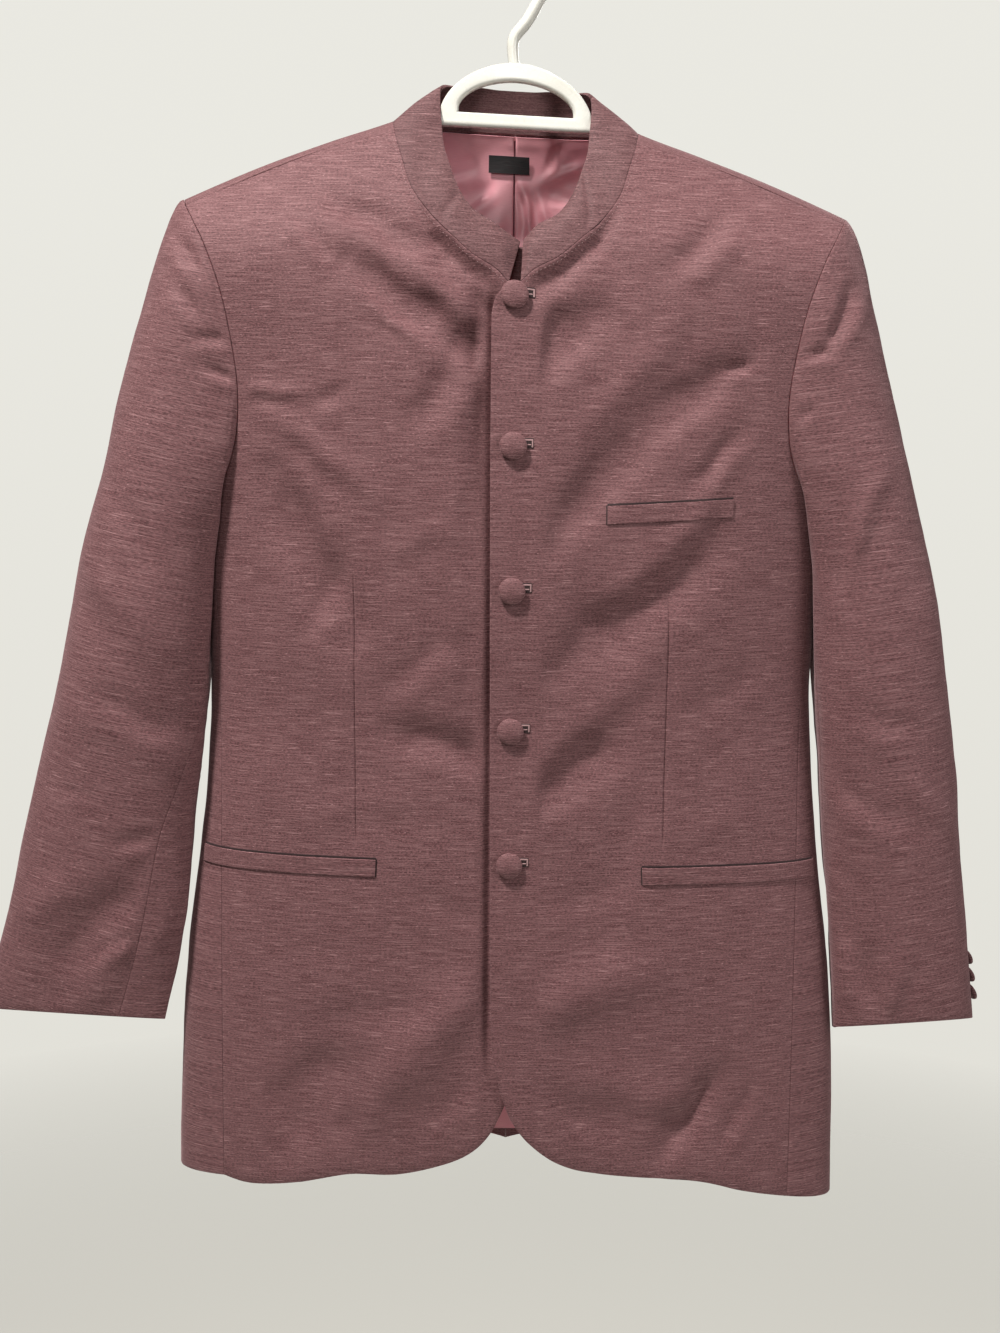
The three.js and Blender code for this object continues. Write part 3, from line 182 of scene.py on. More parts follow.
# Finer creases, each bowed sideways by the given amount
CREASE_COLUMNS = "x0 z0 x1 z1 width depth bow"
FRONT_CREASES = {
    "left": table(
        CREASE_COLUMNS,
        (108, -237, 146, -196, 9, -2.2, 2), (122, -389, 166, -347, 8, -1.4, 2),
        (148, -301, 168, -300, 5, -1.3, 0), (69, -709, 97, -608, 14, -0.9, 3),
        (120, -918, 164, -848, 7, -1.3, -2), (165, -901, 192, -860, 7, -1.1, 0),
        (159, -235, 176, -308, 9, -0.7, 0), (41, -870, 90, -886, 9, -0.7, 2),
        (35, -467, 74, -503, 8, -0.6, 0), (20, -585, 110, -512, 10, 0.9, 4),
        (46, -350, 120, -262, 10, 0.9, 4), (60, -480, 150, -392, 9, 0.8, 3),
        (24, -705, 96, -690, 8, -0.6, 2), (30, -835, 150, -862, 12, 0.9, 6),
        (130, -560, 190, -520, 9, -0.7, 0), (120, -650, 185, -640, 8, 0.5, 2),
        (62, -205, 78, -250, 7, -0.9, 2),
    ),
    "right": table(
        CREASE_COLUMNS,
        (148, -212, 127, -240, 6, -1.2, 1), (56, -222, 25, -281, 9, -2.4, 3),
        (72, -350, 40, -305, 10, -1.8, -3), (196, -331, 150, -326, 5, 0.8, 1),
        (142, -334, 118, -328, 6, -0.9, 1), (174, -346, 90, -404, 8, 0.9, 4),
        (190, -878, 136, -831, 10, -0.9, 3), (113, -871, 136, -904, 8, -1, 0),
        (155, -506, 118, -443, 9, -1, -3), (98, -543, 28, -503, 9, -1, 3),
        (158, -807, 51, -788, 10, -0.9, 3), (110, -262, 60, -302, 6, 1, 3),
        (96, -440, 40, -425, 9, 0.7, 3), (150, -640, 60, -622, 10, 0.6, 4),
        (75, -700, 22, -722, 8, -0.7, 2), (172, -750, 120, -742, 8, -0.5, 0),
        (60, -880, 28, -850, 9, -0.9, 0), (26, -640, 27, -330, 9, -0.7, 2),
    ),
}
BACK_CREASES = {
    "left": table(
        CREASE_COLUMNS,
        (60, -205, 150, -232, 16, -2.2, 5), (40, -300, 175, -352, 20, -2.4, -8),
        (20, -470, 160, -420, 16, -2, 6), (15, -590, 120, -560, 13, -1.6, 4),
        (40, -690, 150, -730, 18, 1.6, 6), (90, -905, 140, -800, 20, -1.8, 5),
        (170, -880, 195, -780, 16, 1.4, 4), (120, -520, 195, -470, 12, -1.3, 2),
    ),
    "right": table(
        CREASE_COLUMNS,
        (50, -215, 160, -222, 14, -2, 4), (30, -330, 170, -310, 18, -2.2, 8),
        (35, -420, 150, -480, 17, -2.2, -5), (20, -610, 130, -560, 14, -1.8, 5),
        (30, -760, 140, -700, 18, 1.8, -6), (60, -910, 100, -790, 18, -2, -5),
        (150, -900, 190, -810, 15, 1.2, 3), (130, -540, 190, -500, 11, -1.2, 2),
    ),
}
SLEEVE_CREASES = {
    "left": table(
        CREASE_COLUMNS,
        (220, -288, 246, -243, 6, -2.2, 2), (205, -296, 226, -291, 4.5, -1.6, 0),
        (206, -341, 219, -334, 4, -1, 0), (271, -742, 281, -795, 8, -1.6, 2),
        (258, -664, 270, -751, 9, -0.9, 2), (267, -379, 243, -446, 9, 1.1, 3),
        (253, -549, 299, -571, 9, -0.8, 3), (232, -400, 245, -480, 7, -1, 0),
        (290, -600, 335, -640, 12, 1, 3), (250, -610, 300, -650, 10, -0.8, 3),
        (300, -450, 318, -520, 12, 0.9, 2), (300, -742, 290, -800, 8, 0.9, 0),
    ),
    "right": table(
        CREASE_COLUMNS,
        (243, -219, 224, -247, 6, -1.5, -1), (241, -257, 226, -276, 5.5, -1.4, 1),
        (222, -314, 199, -325, 4, -1.2, 0), (230, -294, 200, -296, 4.5, -1, 0),
        (342, -624, 305, -627, 2.2, -0.9, 0), (348, -778, 281, -694, 17, -2.6, 5),
        (297, -666, 266, -661, 5, -1, 1), (314, -752, 281, -736, 6, -1, 1),
        (310, -449, 262, -512, 14, 1, 4), (310, -546, 240, -584, 12, -1, 4),
        (375, -735, 330, -690, 12, 0.9, 3), (290, -400, 262, -452, 10, -0.8, 2),
    ),
}
ELBOW_CREASES = table(
    CREASE_COLUMNS,
    (250, -520, 300, -545, 10, -2.2, 4), (245, -560, 318, -575, 11, -2.6, 5),
    (262, -600, 325, -600, 10, -2, 3), (240, -470, 275, -500, 9, -1.6, 3),
    (250, -430, 285, -400, 9, -1.4, 2), (290, -700, 335, -660, 11, 1.2, 3),
)
BACK_LINING_CREASES = table(
    CREASE_COLUMNS,
    (22, -168, 52, -150, 4, 1.6, 1), (24, -172, 48, -178, 3, -1.4, 0),
    (20, -176, 34, -205, 3.5, 1.3, 2), (12, -186, 20, -214, 3.5, -1.2, 1),
    (26, -160, 34, -140, 3.5, -1.2, 0), (-22, -170, -48, -192, 6, -1.6, 2),
    (-30, -150, -56, -162, 6, -1.2, 0), (-14, -200, -40, -222, 7, 1.2, 2),
    (8, -170, 16, -212, 3, 1.5, 1),
)
CREASE_LIP = 0.4
CREASE_LIP_AWAY = 1.7
DEEPEST = 8
WANDER = 4
WANDER_CELL = 27
WANDER_SEEDS = (91, 92)

# The under front's trough along the upper front's edge, its wider one at the chest, and the dip of both
# fronts below the collar
EDGE_VALLEY = {"x": 14.5, "width": 3.4, "depth": 4, "low": (-860, -800), "high": (-272, -248)}
CHEST_VALLEY = {"x": 18, "width": 14, "depth": 7, "low": (-470, -330)}
UNDER_COLLAR = {
    "depth": 5, "middle": 13, "width": 9, "start": 6, "xs": (4, 87), "edge": (6, 22), "side": (56, 78),
}

# Soft bumps of each piece: the height, cell and seed of each size
WAVES = {
    "front_left": ((0.75, 62, 3), (0.3, 27, 13), (0.09, 10, 23)),
    "front_right": ((0.75, 62, 4), (0.3, 27, 14), (0.09, 10, 24)),
    "back_left": ((0.8, 66, 5), (0.3, 28, 15), (0.09, 10, 25)),
    "back_right": ((0.8, 66, 6), (0.3, 28, 16), (0.09, 10, 26)),
    "side_left": ((0.9, 58, 31), (0.3, 22, 35)),
    "side_right": ((0.9, 58, 32), (0.3, 22, 36)),
    "sleeve_left": ((0.9, 55, 51), (0.35, 23, 58), (0.1, 9, 60)),
    "sleeve_right": ((0.9, 55, 52), (0.35, 23, 59), (0.1, 9, 61)),
    "collar": ((0.7, 38, 71), (0.2, 13, 72)),
    "lining": ((0.5, 40, 81), (0.35, 15, 82)),
}
LATTICE = 64
FRONT_SLANT = 0.4
BACK_SLANT = -0.3
SLEEVE_SLANT = 0.4
SLEEVE_WAVE_SHIFT = 400
LINING_WAVE_SHIFT = 300

# Where a panel's relief fades in from its centre edge, from its side and down from the shoulder
FRONT_FREE = {"edge": (13, 27), "side": (186, 198), "shoulder": (2, 26)}
BACK_FREE = {"edge": (4, 26), "side": (186, 204), "shoulder": (4, 30)}
SIDE_FADE = {"across": 0.3, "along": 0.06}
SIDE_SPAN = 60
SIDE_PATTERN_WIDTH = 62

# Darts of each front: x, top and bottom
DARTS = {"left": (115, -461, -659), "right": (115, -444, -659)}
DART_STEPS = (-3, -1.5, -0.8, -0.35, 0, 0.35, 0.8, 1.5, 3)
DART_WIDTH = 0.55
DART_DEPTH = 1.1
DART_DIP = {"width": 7, "depth": 0.5}
DART_FADE = {"bottom": (-2, 4), "top": (-30, 2)}
DART_SHIFT_FADE = {"low": 0.12, "high": 0.3}

# Rings of each sleeve
RING_COLUMNS = "out_x out_z in_x in_z front back rise"
SLEEVES = {
    "left": {
        "rings": table(
            RING_COLUMNS,
            (300, -395, 220, -462, -57, 44, 0), (318, -465, 227, -520, -57, 42, 0),
            (330.5, -535, 235, -582, -55, 38, 1), (342.5, -612, 241.5, -650, -51, 34, 4),
            (355, -705, 248, -727, -45, 30, 8), (368.5, -810, 254.5, -819, -38, 24, 12),
        ),
        "cap_angle": -8,
        "seams": table("t front back", (0, 0.4, 0.74), (0.55, 0.46, 0.86), (1, 0.5, 0.985)),
    },
    "right": {
        "rings": table(
            RING_COLUMNS,
            (306, -385, 215, -460, -57, 44, 0), (327, -462, 224, -520, -57, 40, 0),
            (345, -545, 232, -585, -55, 34, 1), (364, -624, 242, -652, -51, 24, 2),
            (385, -712, 251, -733, -46, 8, 4), (408.5, -803, 268.5, -811, -38, -6, 6),
        ),
        "cap_angle": 26,
        "seams": table(
            "t front back",
            (0, 0.4, 0.74), (0.54, 0.445, 0.8), (0.65, 0.4, 0.81), (0.77, 0.356, 0.825),
            (1, 0.334, 0.845),
        ),
    },
}
RING_POWER = 2.2
CAP_SHARE = 0.32
CAP_RATE = 1
RATE_STEP = 0.05
START_CLEARANCE = 0.3
BODY_CLEARANCE = 2.5
BLEND_START = 0.2
BLEND_FREE = 3
CLEAR_BELOW_Z = -388
CLEAR_ABOVE_Z = -353
SLEEVE_GIRTH = 300
SLEEVE_HALF_WIDTH = 57
SLEEVE_HALF_DEPTH = 45
SLEEVE_RADIUS = 60
SLEEVE_FADE = {"columns": 7, "head": 0.06, "cuff": 0.02}
FACING = (0.1, 0.6)
PUCKER = {"height": 0.22, "length": 2.1, "start": (0.01, 0.03), "end": (0.05, 0.1)}
START_LIFT = 0.7
SEAM_JOIN_POWER = 4
LEAVING = table(
    "turn angle reach",
    (-0.12, 28, 40), (0, 12, 38), (0.12, 28, 40), (0.26, 45, 40), (0.38, 95, 28), (0.5, 148, 18),
    (0.62, 95, 28), (0.74, 45, 40), (0.88, 28, 40), (1, 12, 38), (1.12, 28, 40),
)

# Coarse rows and columns that neighbours share, and how finely each is split
EDGE_ROWS = 16
CORNER_ROWS = 3
NECK_ROWS = 9
FRONT_SEAM_ROWS = 11
ARMHOLE_FRONT_ROWS = 17
BACK_MIDDLE_Z = -410
BACK_LOW_ROWS = 8
BACK_HIGH_ROWS = 7
BACK_NECK_ROWS = 6
OVER_RIDGE_ROWS = 3
ARMHOLE_BACK_ROWS = BACK_HIGH_ROWS + BACK_NECK_ROWS
SIDE_COLUMNS = 6
ROUND_SPACING = 1.6
SPLIT = 5
FRONT_HALF_COLUMNS = 84
BACK_COLUMNS = 66
SIDE_ROWS = 110
CAP_ROWS = 44
SLEEVE_ROWS = 84
COLLAR_ROWS = 22
COLLAR_COLUMNS = 144
LINING_ROWS = 150
LINING_COLUMNS = 180

# Collar
COLLAR_SPAN = 32
COLLAR_FADE = {"end": 14, "edge": 0.2}
COLLAR_DIMPLE = {"depth": 1.4, "width": 4, "slant": 0.5, "left": 62, "right": 66}
COLLAR_BULGE = {"height": 0.9, "front": 3, "fade": (35, 110), "end": 9}
COLLAR_BASE_SHARE = 1 / 3
FRONT_DROP = -0.01

# Trimmings
BUTTON = {"radius": 9.8, "height": 5.5}
BUTTON_CELLS = (22, 56)
BUTTON_BEND = 0.62
BUTTON_CURL = {"start": 0.5, "inwards": 0.07, "down": 0.36}
BUTTON_PLEATS = {"count": 14, "height": 0.012, "start": 0.75}
BUTTON_CLOTH_SCALE = 1.15
BUTTON_HEIGHTS = (-259, -363, -466, -570, -672)
CUFF_BUTTON = {"radius": 7.2, "height": 3.4}
CUFF_BUTTON_ROWS = {"left": (-763, -777, -791), "right": (-760, -774, -788)}
CUFF_BUTTON_TILT = 0.3
CUFF_BUTTON_SEAT = 2.2
BREAST_WELT = {"x0": 68, "z0": -411.5, "x1": 159, "z1": -406}
POCKET_WELT = {"left": (100, -682, -684), "right": (100, -677.5, -676)}
WELT_HEIGHT = 13.5
WELT_ROWS = 12
WELT_GAPS = (0.15, 0.7)
WELT_RADIUS = 0.5
BREAST_COLUMNS = 60
POCKET_COLUMNS = 90
POCKET_SPACING = 1.4
POCKET_PATTERN_WIDTH = 150
BEYOND_SEAM = 16
MOUTH_HEIGHT = 1.5
MOUTH_OVERLAP = 0.4
MOUTH_ROWS = 2
WELT_END_WIDTH = 0.9
WELT_END_OVERLAP = 0.3
INLAY = {"wall": 0.3, "gap": 0.12, "radius": 0.1}
BUTTONHOLE = {
    "slit": (4, 14.4, -1.5, 5.6), "top": (4, 14.1, 3.7, 4.9), "middle": (4, 12.6, 0.6, 1.5),
    "end": (13, 14.1, -0.9, 4.6),
}
BUTTONHOLE_WALL = 0.4
BUTTONHOLE_CELLS = (12, 4)
BUTTONHOLE_HEIGHT = {"slit": 0.05, "lip": 0.3}
BUTTONHOLE_RADIUS = {"slit": 0.08, "lip": 0.4}
STITCH = {"Spacing": 3.2, "Length": 1.3, "Thickness": 0.35}
STITCH_CELLS = (8, 5)
STITCH_SIZES = (0.75, 1.15)
STITCH_SEED = 1
STITCHES_BELOW = 2.6
STITCHES_LIFT = 0.1
STITCH_ROWS = (0.25, NECK_SHOULDER_ROW - 0.2, 120)
NECK_TAB = {"x": 1, "shift": 4, "width": 22, "low": -262, "high": -223, "low_y": -52, "high_y": -41}
NECK_TAB_CELLS = 16
NECK_TAB_WALL = 1
NECK_TAB_WAVE = {"height": 0.6, "across": 3, "up": 4}
NECK_TAB_UPWARD = 0.15
LABEL = {"x0": -20, "x1": 11, "z0": -147, "z1": -160}
LABEL_CELLS = (30, 14)
LABEL_WAVE = {"height": 0.25, "x": 6, "z": 5}
LABEL_CLEAR = {"x": 24, "z": 13}
THIN_RADIUS = 0.3
LINING_HEM_Z = -926
LINING_FADE = {"hem": 0.02, "side": 0.06, "neck": 0.012}
LINING_RELIEF = (-1.3, 3.5)
LINING_SINK = 0.5
LINING_RIDGE = {"height": 1.6, "width": 0.9, "low": (-218, -212), "share": 0.7}
LINING_SEAM = {"low": -214, "high": -136, "columns": (-3, 2), "wall": 0.25, "gap": 0.05, "radius": 0.1}
LINING_NECK_Z = -133.5
LINING_RIDGE_DROP = 20
LINING_SHOULDER_Z = -212
LINING_SIDE_INSET = 7

# Hanger
HANGER_DEPTH = 9
HANGER_BEVEL = 2.5
ARM_XS = (88, 110, 135, 160, 187, 204)
ARM_HEIGHT = 13
ARM_DROP = BODY_WALL + 1.2
BAR_TOP_Z = -126
BAR_BOTTOM_Z = -136
ARCH_OUTER = {"half_width": 53.5, "top": -90, "foot": -128, "power": 1.85}
ARCH_INNER = {"half_width": 44.3, "top": -103, "foot": BAR_TOP_Z, "power": 1.9}
HOOK_RADIUS = 27.5
HOOK_ROD = 4.5
HOOK_CENTRE_Z = HOOK_ROD - HOOK_RADIUS
HOOK_ANGLES = (-52, 200)
STEM = [(0, -98), (-2.5, -84), (-1.5, -72), (8, -60)]
HOOK_POINTS = 15
HOOK_CELLS = 110
HOOK_FLARE = {"share": 0.14, "fade": (0.05, 0.2)}
HOOK_TIP = {"fade": (0.985, 1), "least": 0.04}
ARCH_CELLS = 40
MERGE_DISTANCE = 0.02
HANGER_SHARP_ANGLE = math.radians(35)
HANGER_NECK = [(70, -132), (80, -136)]
HANGER_FOOT_X = 60
ARM_TIP = {"reach": 3, "top": 4, "foot": 5}
LEAN = {"drop": 5, "grow_x": 100, "hook_z": -62, "arch_z": -98, "shoulder_z": -240, "chest_z": -450}

# Cloths: dark yarn, light yarn and slub
CLOTH_COLORS = {
    "burgundy_sharkskin": ((0.062, 0.022, 0.025), (0.19, 0.082, 0.087), (0.44, 0.245, 0.25)),
    # Near-black painted shade for the pocket mouths, the welts' inner ends and the buttonhole slits
    "painted_shade_cloth": ((0.02, 0.01, 0.011), (0.03, 0.015, 0.016), (0.05, 0.03, 0.03)),
    # A darker copy of the cloth for the collar's inner faces: painted shade
    "inner_collar_painted_shade": ((0.055, 0.021, 0.023), (0.12, 0.053, 0.055), (0.2, 0.11, 0.11)),
    # A darker copy of the cloth for the collar's outside, where the collar catches more light: painted
    # shade
    "collar_painted_shade_sharkskin": ((0.05, 0.018, 0.02), (0.14, 0.061, 0.064), (0.36, 0.2, 0.205)),
}
SATIN_COLORS = {
    "rose_satin": ((0.84, 0.36, 0.42), (0.95, 0.48, 0.52)),
    # Dark satin of painted shade for the groove of the lining's centre seam
    "seam_shade_satin": ((0.16, 0.045, 0.06), (0.2, 0.06, 0.08)),
}
THREAD_COLOR = (0.42, 0.25, 0.25)
PATTERN_SHIFT_UP = 0.7

# Patterns of the worsted: cell across and up in mm, shift, detail and roughness, then the ramp's ends
YARNS = {
    "grain": (2.0, 0.9, 0.0, 3.0, 0.7, 0.4, 0.62),
    "weft": (24, 0.9, 3.1, 3.0, 0.6, 0.42, 0.7),
    "slubs": (15, 0.7, 7.7, 1.0, 0.4, 0.66, 0.75),
    "specks": (2.2, 1.1, 5.3, 1.0, 0.4, 0.66, 0.78),
    "tone": (150, 110, 1.9, 2.0, 0.5, 0.3, 0.7),
}

# Studio, in metres: each light's place, aim, size, watts and colour
ROOM_HIGH = (0.82, 0.81, 0.755)
ROOM_LOW = (0.74, 0.725, 0.665)
FILL_HIGH = (0.105, 0.105, 0.101)
FILL_LOW = (0.064, 0.063, 0.058)
LIGHTS = {
    "key": ((-1.05, -1.1, 1.9), (0, 0, -0.5), 0.36, 127, (1, 0.97, 0.93)),
    "front": ((-0.3, -2.6, 0.5), (0, 0, -0.3), 1.2, 13, (1, 0.98, 0.95)),
    "side": ((1.8, -1.2, 0.2), (0, 0, -0.5), 1.2, 22, (1, 0.98, 0.96)),
    "back": ((0.6, 2.2, 0.6), (0, 0, -0.5), 1.4, 30, (1, 0.98, 0.95)),
}
FLOOR = {"z": -2.1, "radius": 4.0, "fade": (2.3, 3.8), "color": (0.74, 0.73, 0.68), "roughness": 0.85}
CAMERA_PLACE = (-0.008, -1.150, -0.350)
CAMERA_TILT = math.radians(9)
CAMERA_ROLL = math.radians(0.5)
SENSOR_WIDTH = 36
FOCAL_PIXELS = 1512
LONG_SIDE_PIXELS = 1333


# Curves and tables


def hermite(start, start_rate, end, end_rate, s):
    rest = 1 - s
    start_part = start * (1 + 2 * s) * rest * rest + start_rate * s * rest * rest
    return start_part + end * s * s * (3 - 2 * s) - end_rate * s * s * rest


def look(rows, key, at, name):
    """One column's values where the key column has the given values, on a smooth curve through the rows."""
    keys, data = rows[key], rows[name]
    if keys[0] > keys[-1]:
        keys, data = keys[::-1], data[::-1]
    last = len(keys) - 1
    order = np.arange(last + 1)
    before, after = np.maximum(order - 1, 0), np.minimum(order + 1, last)
    slope = (data[after] - data[before]) / (keys[after] - keys[before])
    low = np.clip(np.searchsorted(keys, at, side="right") - 1, 0, last - 1)
    step = keys[low + 1] - keys[low]
    s = np.clip((at - keys[low]) / step, 0, 1)
    return hermite(data[low], slope[low] * step, data[low + 1], slope[low + 1] * step, s)


def at_row(values, place):
    """The same smooth curve with the row's number as the key."""
    last = len(values) - 1
    place = np.asarray(place, float)
    low = np.clip(np.floor(place).astype(int), 0, last - 1)
    value = lambda i: values[np.clip(i, 0, last)]
    start_rate = (value(low + 1) - value(low - 1)) / np.where(low > 0, 2, 1)
    end_rate = (value(low + 2) - value(low)) / np.where(low < last - 1, 2, 1)
    return hermite(value(low), start_rate, value(low + 1), end_rate, place - low)


def smooth(start, end, value):
    s = np.clip((value - start) / (end - start), 0, 1)
    return s * s * (3 - 2 * s)


def spline(points, t):
    """Points on the smooth curve through the given ones, with t from 0 to 1."""
    points = np.asarray(points, float)
    last = len(points) - 1
    place = np.asarray(t, float) * last
    low = np.clip(np.floor(place).astype(int), 0, last - 1)
    point = lambda i: points[np.clip(i, 0, last)]
    start_rate = (point(low + 1) - point(low - 1)) / 2
    end_rate = (point(low + 2) - point(low)) / 2
    return hermite(point(low), start_rate, point(low + 1), end_rate, (place - low)[..., None])


def spaced(points, shares):
    """Points at the given shares of the curve's length."""
    t = np.linspace(0, 1, 1201)
    along = spline(points, t)
    lengths = np.concatenate([[0], np.cumsum(np.linalg.norm(np.diff(along, axis=0), axis=1))])
    return spline(points, np.interp(np.asarray(shares) * lengths[-1], lengths, t))


def even(count):
    return np.linspace(0, 1, count + 1)


def unit(vectors):
    return vectors / np.maximum(np.linalg.norm(vectors, axis=-1, keepdims=True), 1e-9)


def bell(value):
    return np.exp(-(value**2))


def faded_ends(share, margin):
    """From 0 at both ends of a share to 1 beyond the margin."""
    return smooth(0, margin, share) * smooth(0, margin, 1 - share)


def ripple(a, b, cell, seed):
    """Soft bumps from -1 to 1 over two coordinates, about one cell wide."""
    lattice = np.random.RandomState(seed).uniform(-1, 1, (LATTICE, LATTICE))
    i, j = np.floor(a / cell).astype(int), np.floor(b / cell).astype(int)
    s, t = a / cell - i, b / cell - j
    s, t = s * s * s * (s * (6 * s - 15) + 10), t * t * t * (t * (6 * t - 15) + 10)
    corner = lambda di, dj: lattice[(i + di) % LATTICE, (j + dj) % LATTICE]
    low = corner(0, 0) * (1 - s) + corner(1, 0) * s
    high = corner(0, 1) * (1 - s) + corner(1, 1) * s
    return low * (1 - t) + high * t


def waves(piece, *places):
    """A piece's soft bumps of each size, each over its own pair of coordinates."""
    rows = zip(WAVES[piece], places)
    return sum(height * ripple(a, b, cell, seed) for (height, cell, seed), (a, b) in rows)


# The body's surface on the +X side


def ridge_z(x):
    return look(RIDGE, "x", x, "z")


def drop_at(x, z, face):
    """The way down from the ridge along the cloth: below zero on the front, above on the back."""
    depth = np.maximum(ridge_z(x) - z, 0)
    round_part = ROUNDING * np.arccos(np.clip(1 - depth / ROUNDING, 0, 1))
    return face * np.where(depth < ROUNDING, round_part, QUARTER + depth - ROUNDING)


def on_shoulder(x, drop):
    size = np.abs(drop)
    angle = np.minimum(size, QUARTER) / ROUNDING
    z = ridge_z(x) - ROUNDING * (1 - np.cos(angle)) - np.maximum(size - QUARTER, 0)
    share = np.minimum(np.abs(x) / look(BODY, "z", z, "half_width"), 1)
    side = look(BODY, "z", z, "side")
    reach = np.where(drop < 0, look(BODY, "z", z, "front"), look(BODY, "z", z, "back")) - side
    across = (1 - share**SECTION_POWER) ** (1 / SECTION_POWER)
    return np.stack([x + 0 * z, side + reach * across * np.sin(angle), z], axis=-1)


def on_side(turn, z):
    """The turn runs from the centre front through 0 at the side to the centre back."""
    half_width = look(BODY, "z", z, "half_width")
    side = look(BODY, "z", z, "side")
    reach = np.where(turn < 0, look(BODY, "z", z, "front"), look(BODY, "z", z, "back")) - side
    across = np.abs(np.cos(turn)) ** (2 / SECTION_POWER)
    depth = np.abs(np.sin(turn)) ** (2 / SECTION_POWER)
    return np.stack([half_width * across, side + reach * depth, z + 0 * turn], axis=-1)


def turn_at(x, z, face):
    share = np.minimum(x / look(BODY, "z", z, "half_width"), 1)
    return face * np.arccos(share ** (SECTION_POWER / 2))


def normal_of(surface, a, b, step_a, step_b):
    along_a = surface(a + step_a, b) - surface(a - step_a, b)
    along_b = surface(a, b + step_b) - surface(a, b - step_b)
    return unit(np.cross(along_a, along_b))


# Relief of the cloth


def fold_share(x, z, x0, z0, x1, z1, bow=0):
    """Where a place lies along a fold, how far off its line, and how far beyond its ends."""
    along_x, along_z = x1 - x0, z1 - z0
    length = math.hypot(along_x, along_z)
    wander = [WANDER * ripple(x, z, WANDER_CELL, seed) for seed in WANDER_SEEDS]
    x, z = x + wander[0], z + wander[1]
    along = ((x - x0) * along_x + (z - z0) * along_z) / length**2
    inside = np.clip(along, 0, 1)
    off = ((x - x0) * along_z - (z - z0) * along_x) / length - bow * 4 * inside * (1 - inside)
    beyond = np.maximum(np.maximum(-along, along - 1), 0) * length
    taper = FOLD_END_SHARE + (1 - FOLD_END_SHARE) * smooth(0, FOLD_TAPER, np.minimum(along, 1 - along))
    return off, beyond, taper


def raised(side, x, z):
    """How far the main folds and the front overlap move the cloth out."""
    height = np.zeros(np.broadcast(x, z).shape)
    for x0, z0, x1, z1, width, depth in zip(*FOLDS[side].values()):
        off, beyond, taper = fold_share(x, z, x0, z0, x1, z1)
        height += depth * taper * np.exp(-(off**2 + beyond**2) / (FOLD_WIDTH * width) ** 2)
    from_side = 1 - smooth(FOLD_FADE_SIDE, FOLD_FREE_SIDE, x)
    height *= FOLD_GAIN * smooth(OVERLAP, FOLD_FREE_EDGE, x) * from_side
    height = DEEPEST * np.tanh(height / DEEPEST)
    near_edge = 1 - smooth(LIFT_FULL_X, LIFT_END_X, x)
    lift = OVERLAP_LIFT * near_edge if side == "left" else -UNDERLAP_SINK * near_edge
    return height + lift


def creased(rows, x, z):
    """Fine creases, each a trough or ridge with a soft lip of the other sign along its lower side."""
    height = np.zeros(np.broadcast(x, z).shape)
    for x0, z0, x1, z1, width, depth, bow in zip(*rows.values()):
        off, beyond, taper = fold_share(x, z, x0, z0, x1, z1, bow)
        fade = depth * taper * bell(beyond / width)
        side = 1 if x1 > x0 else -1
        lip = bell(side * off / width - CREASE_LIP_AWAY)
        height += fade * (bell(off / width) - CREASE_LIP * lip)
    return CREASE_GAIN * height


def dart(side, x, z):
    line, top, bottom = DARTS[side]
    from_bottom = smooth(*(bottom + move for move in DART_FADE["bottom"]), z)
    inside = from_bottom * (1 - smooth(*(top + move for move in DART_FADE["top"]), z))
    groove = DART_DEPTH * bell((x - line) / DART_WIDTH)
    return -inside * (groove + DART_DIP["depth"] * bell((x - line) / DART_DIP["width"]))


def freed(limits, x, z):
    """From 0 at a panel's edges to 1 where its relief is full."""
    across = smooth(*limits["edge"], x) * (1 - smooth(*limits["side"], x))
    return across * smooth(*limits["shoulder"], ridge_z(x) - z)


def front_relief(side, x, z):
    bumps = waves(f"front_{side}", (x, z), (x + FRONT_SLANT * z, z), (x, z))
    relief = freed(FRONT_FREE, x, z) * (creased(FRONT_CREASES[side], x, z) + bumps)
    relief = relief + dart(side, x, z) - under_collar(x, z)
    return relief - beside_edge(x, z) if side == "right" else relief


def under_collar(x, z):
    """The fronts sink away just below the collar's seam and swell again lower down."""
    seam = {name: NECK[name][:NECK_SHOULDER_ROW + 1] for name in ("x", "z")}
    below = look(seam, "x", np.clip(x, *UNDER_COLLAR["xs"]), "z") - z
    shape = bell((below - UNDER_COLLAR["middle"]) / UNDER_COLLAR["width"])
    shape = shape * smooth(0, UNDER_COLLAR["start"], below)
    across = smooth(*UNDER_COLLAR["edge"], x) * (1 - smooth(*UNDER_COLLAR["side"], x))
    return UNDER_COLLAR["depth"] * shape * across


def valley(sizes, x):
    return sizes["depth"] * bell((x - sizes["x"]) / sizes["width"])


def beside_edge(x, z):
    """The under front sinks away just beside the upper front's edge."""
    depth = valley(EDGE_VALLEY, x) + valley(CHEST_VALLEY, x) * smooth(*CHEST_VALLEY["low"], z)
    return depth * (1 - smooth(*EDGE_VALLEY["high"], z)) * smooth(*EDGE_VALLEY["low"], z)


def back_relief(side, x, z):
    bumps = waves(f"back_{side}", (x, z), (x + BACK_SLANT * z, z), (x, z))
    return freed(BACK_FREE, x, z) * (creased(BACK_CREASES[side], x, z) + bumps)


def shoulder_place(side, x, drop, fine=True):
    """A place on the cloth's outer surface, with its outward normal."""
    x, drop = np.broadcast_arrays(np.asarray(x, float), np.asarray(drop, float))
    point = on_shoulder(x, drop)
    normal = normal_of(on_shoulder, x, drop, NORMAL_STEP, NORMAL_STEP)
    z = point[..., 2]
    front = raised(side, x, z) + (front_relief(side, x, z) if fine else 0)
    back = back_relief(side, np.abs(x), z) if fine else 0
    height = np.where(drop < 0, front, back)
    return point + normal * height[..., None], normal


def front_place(side, x, z):
    return shoulder_place(side, x, drop_at(x, z, -1))


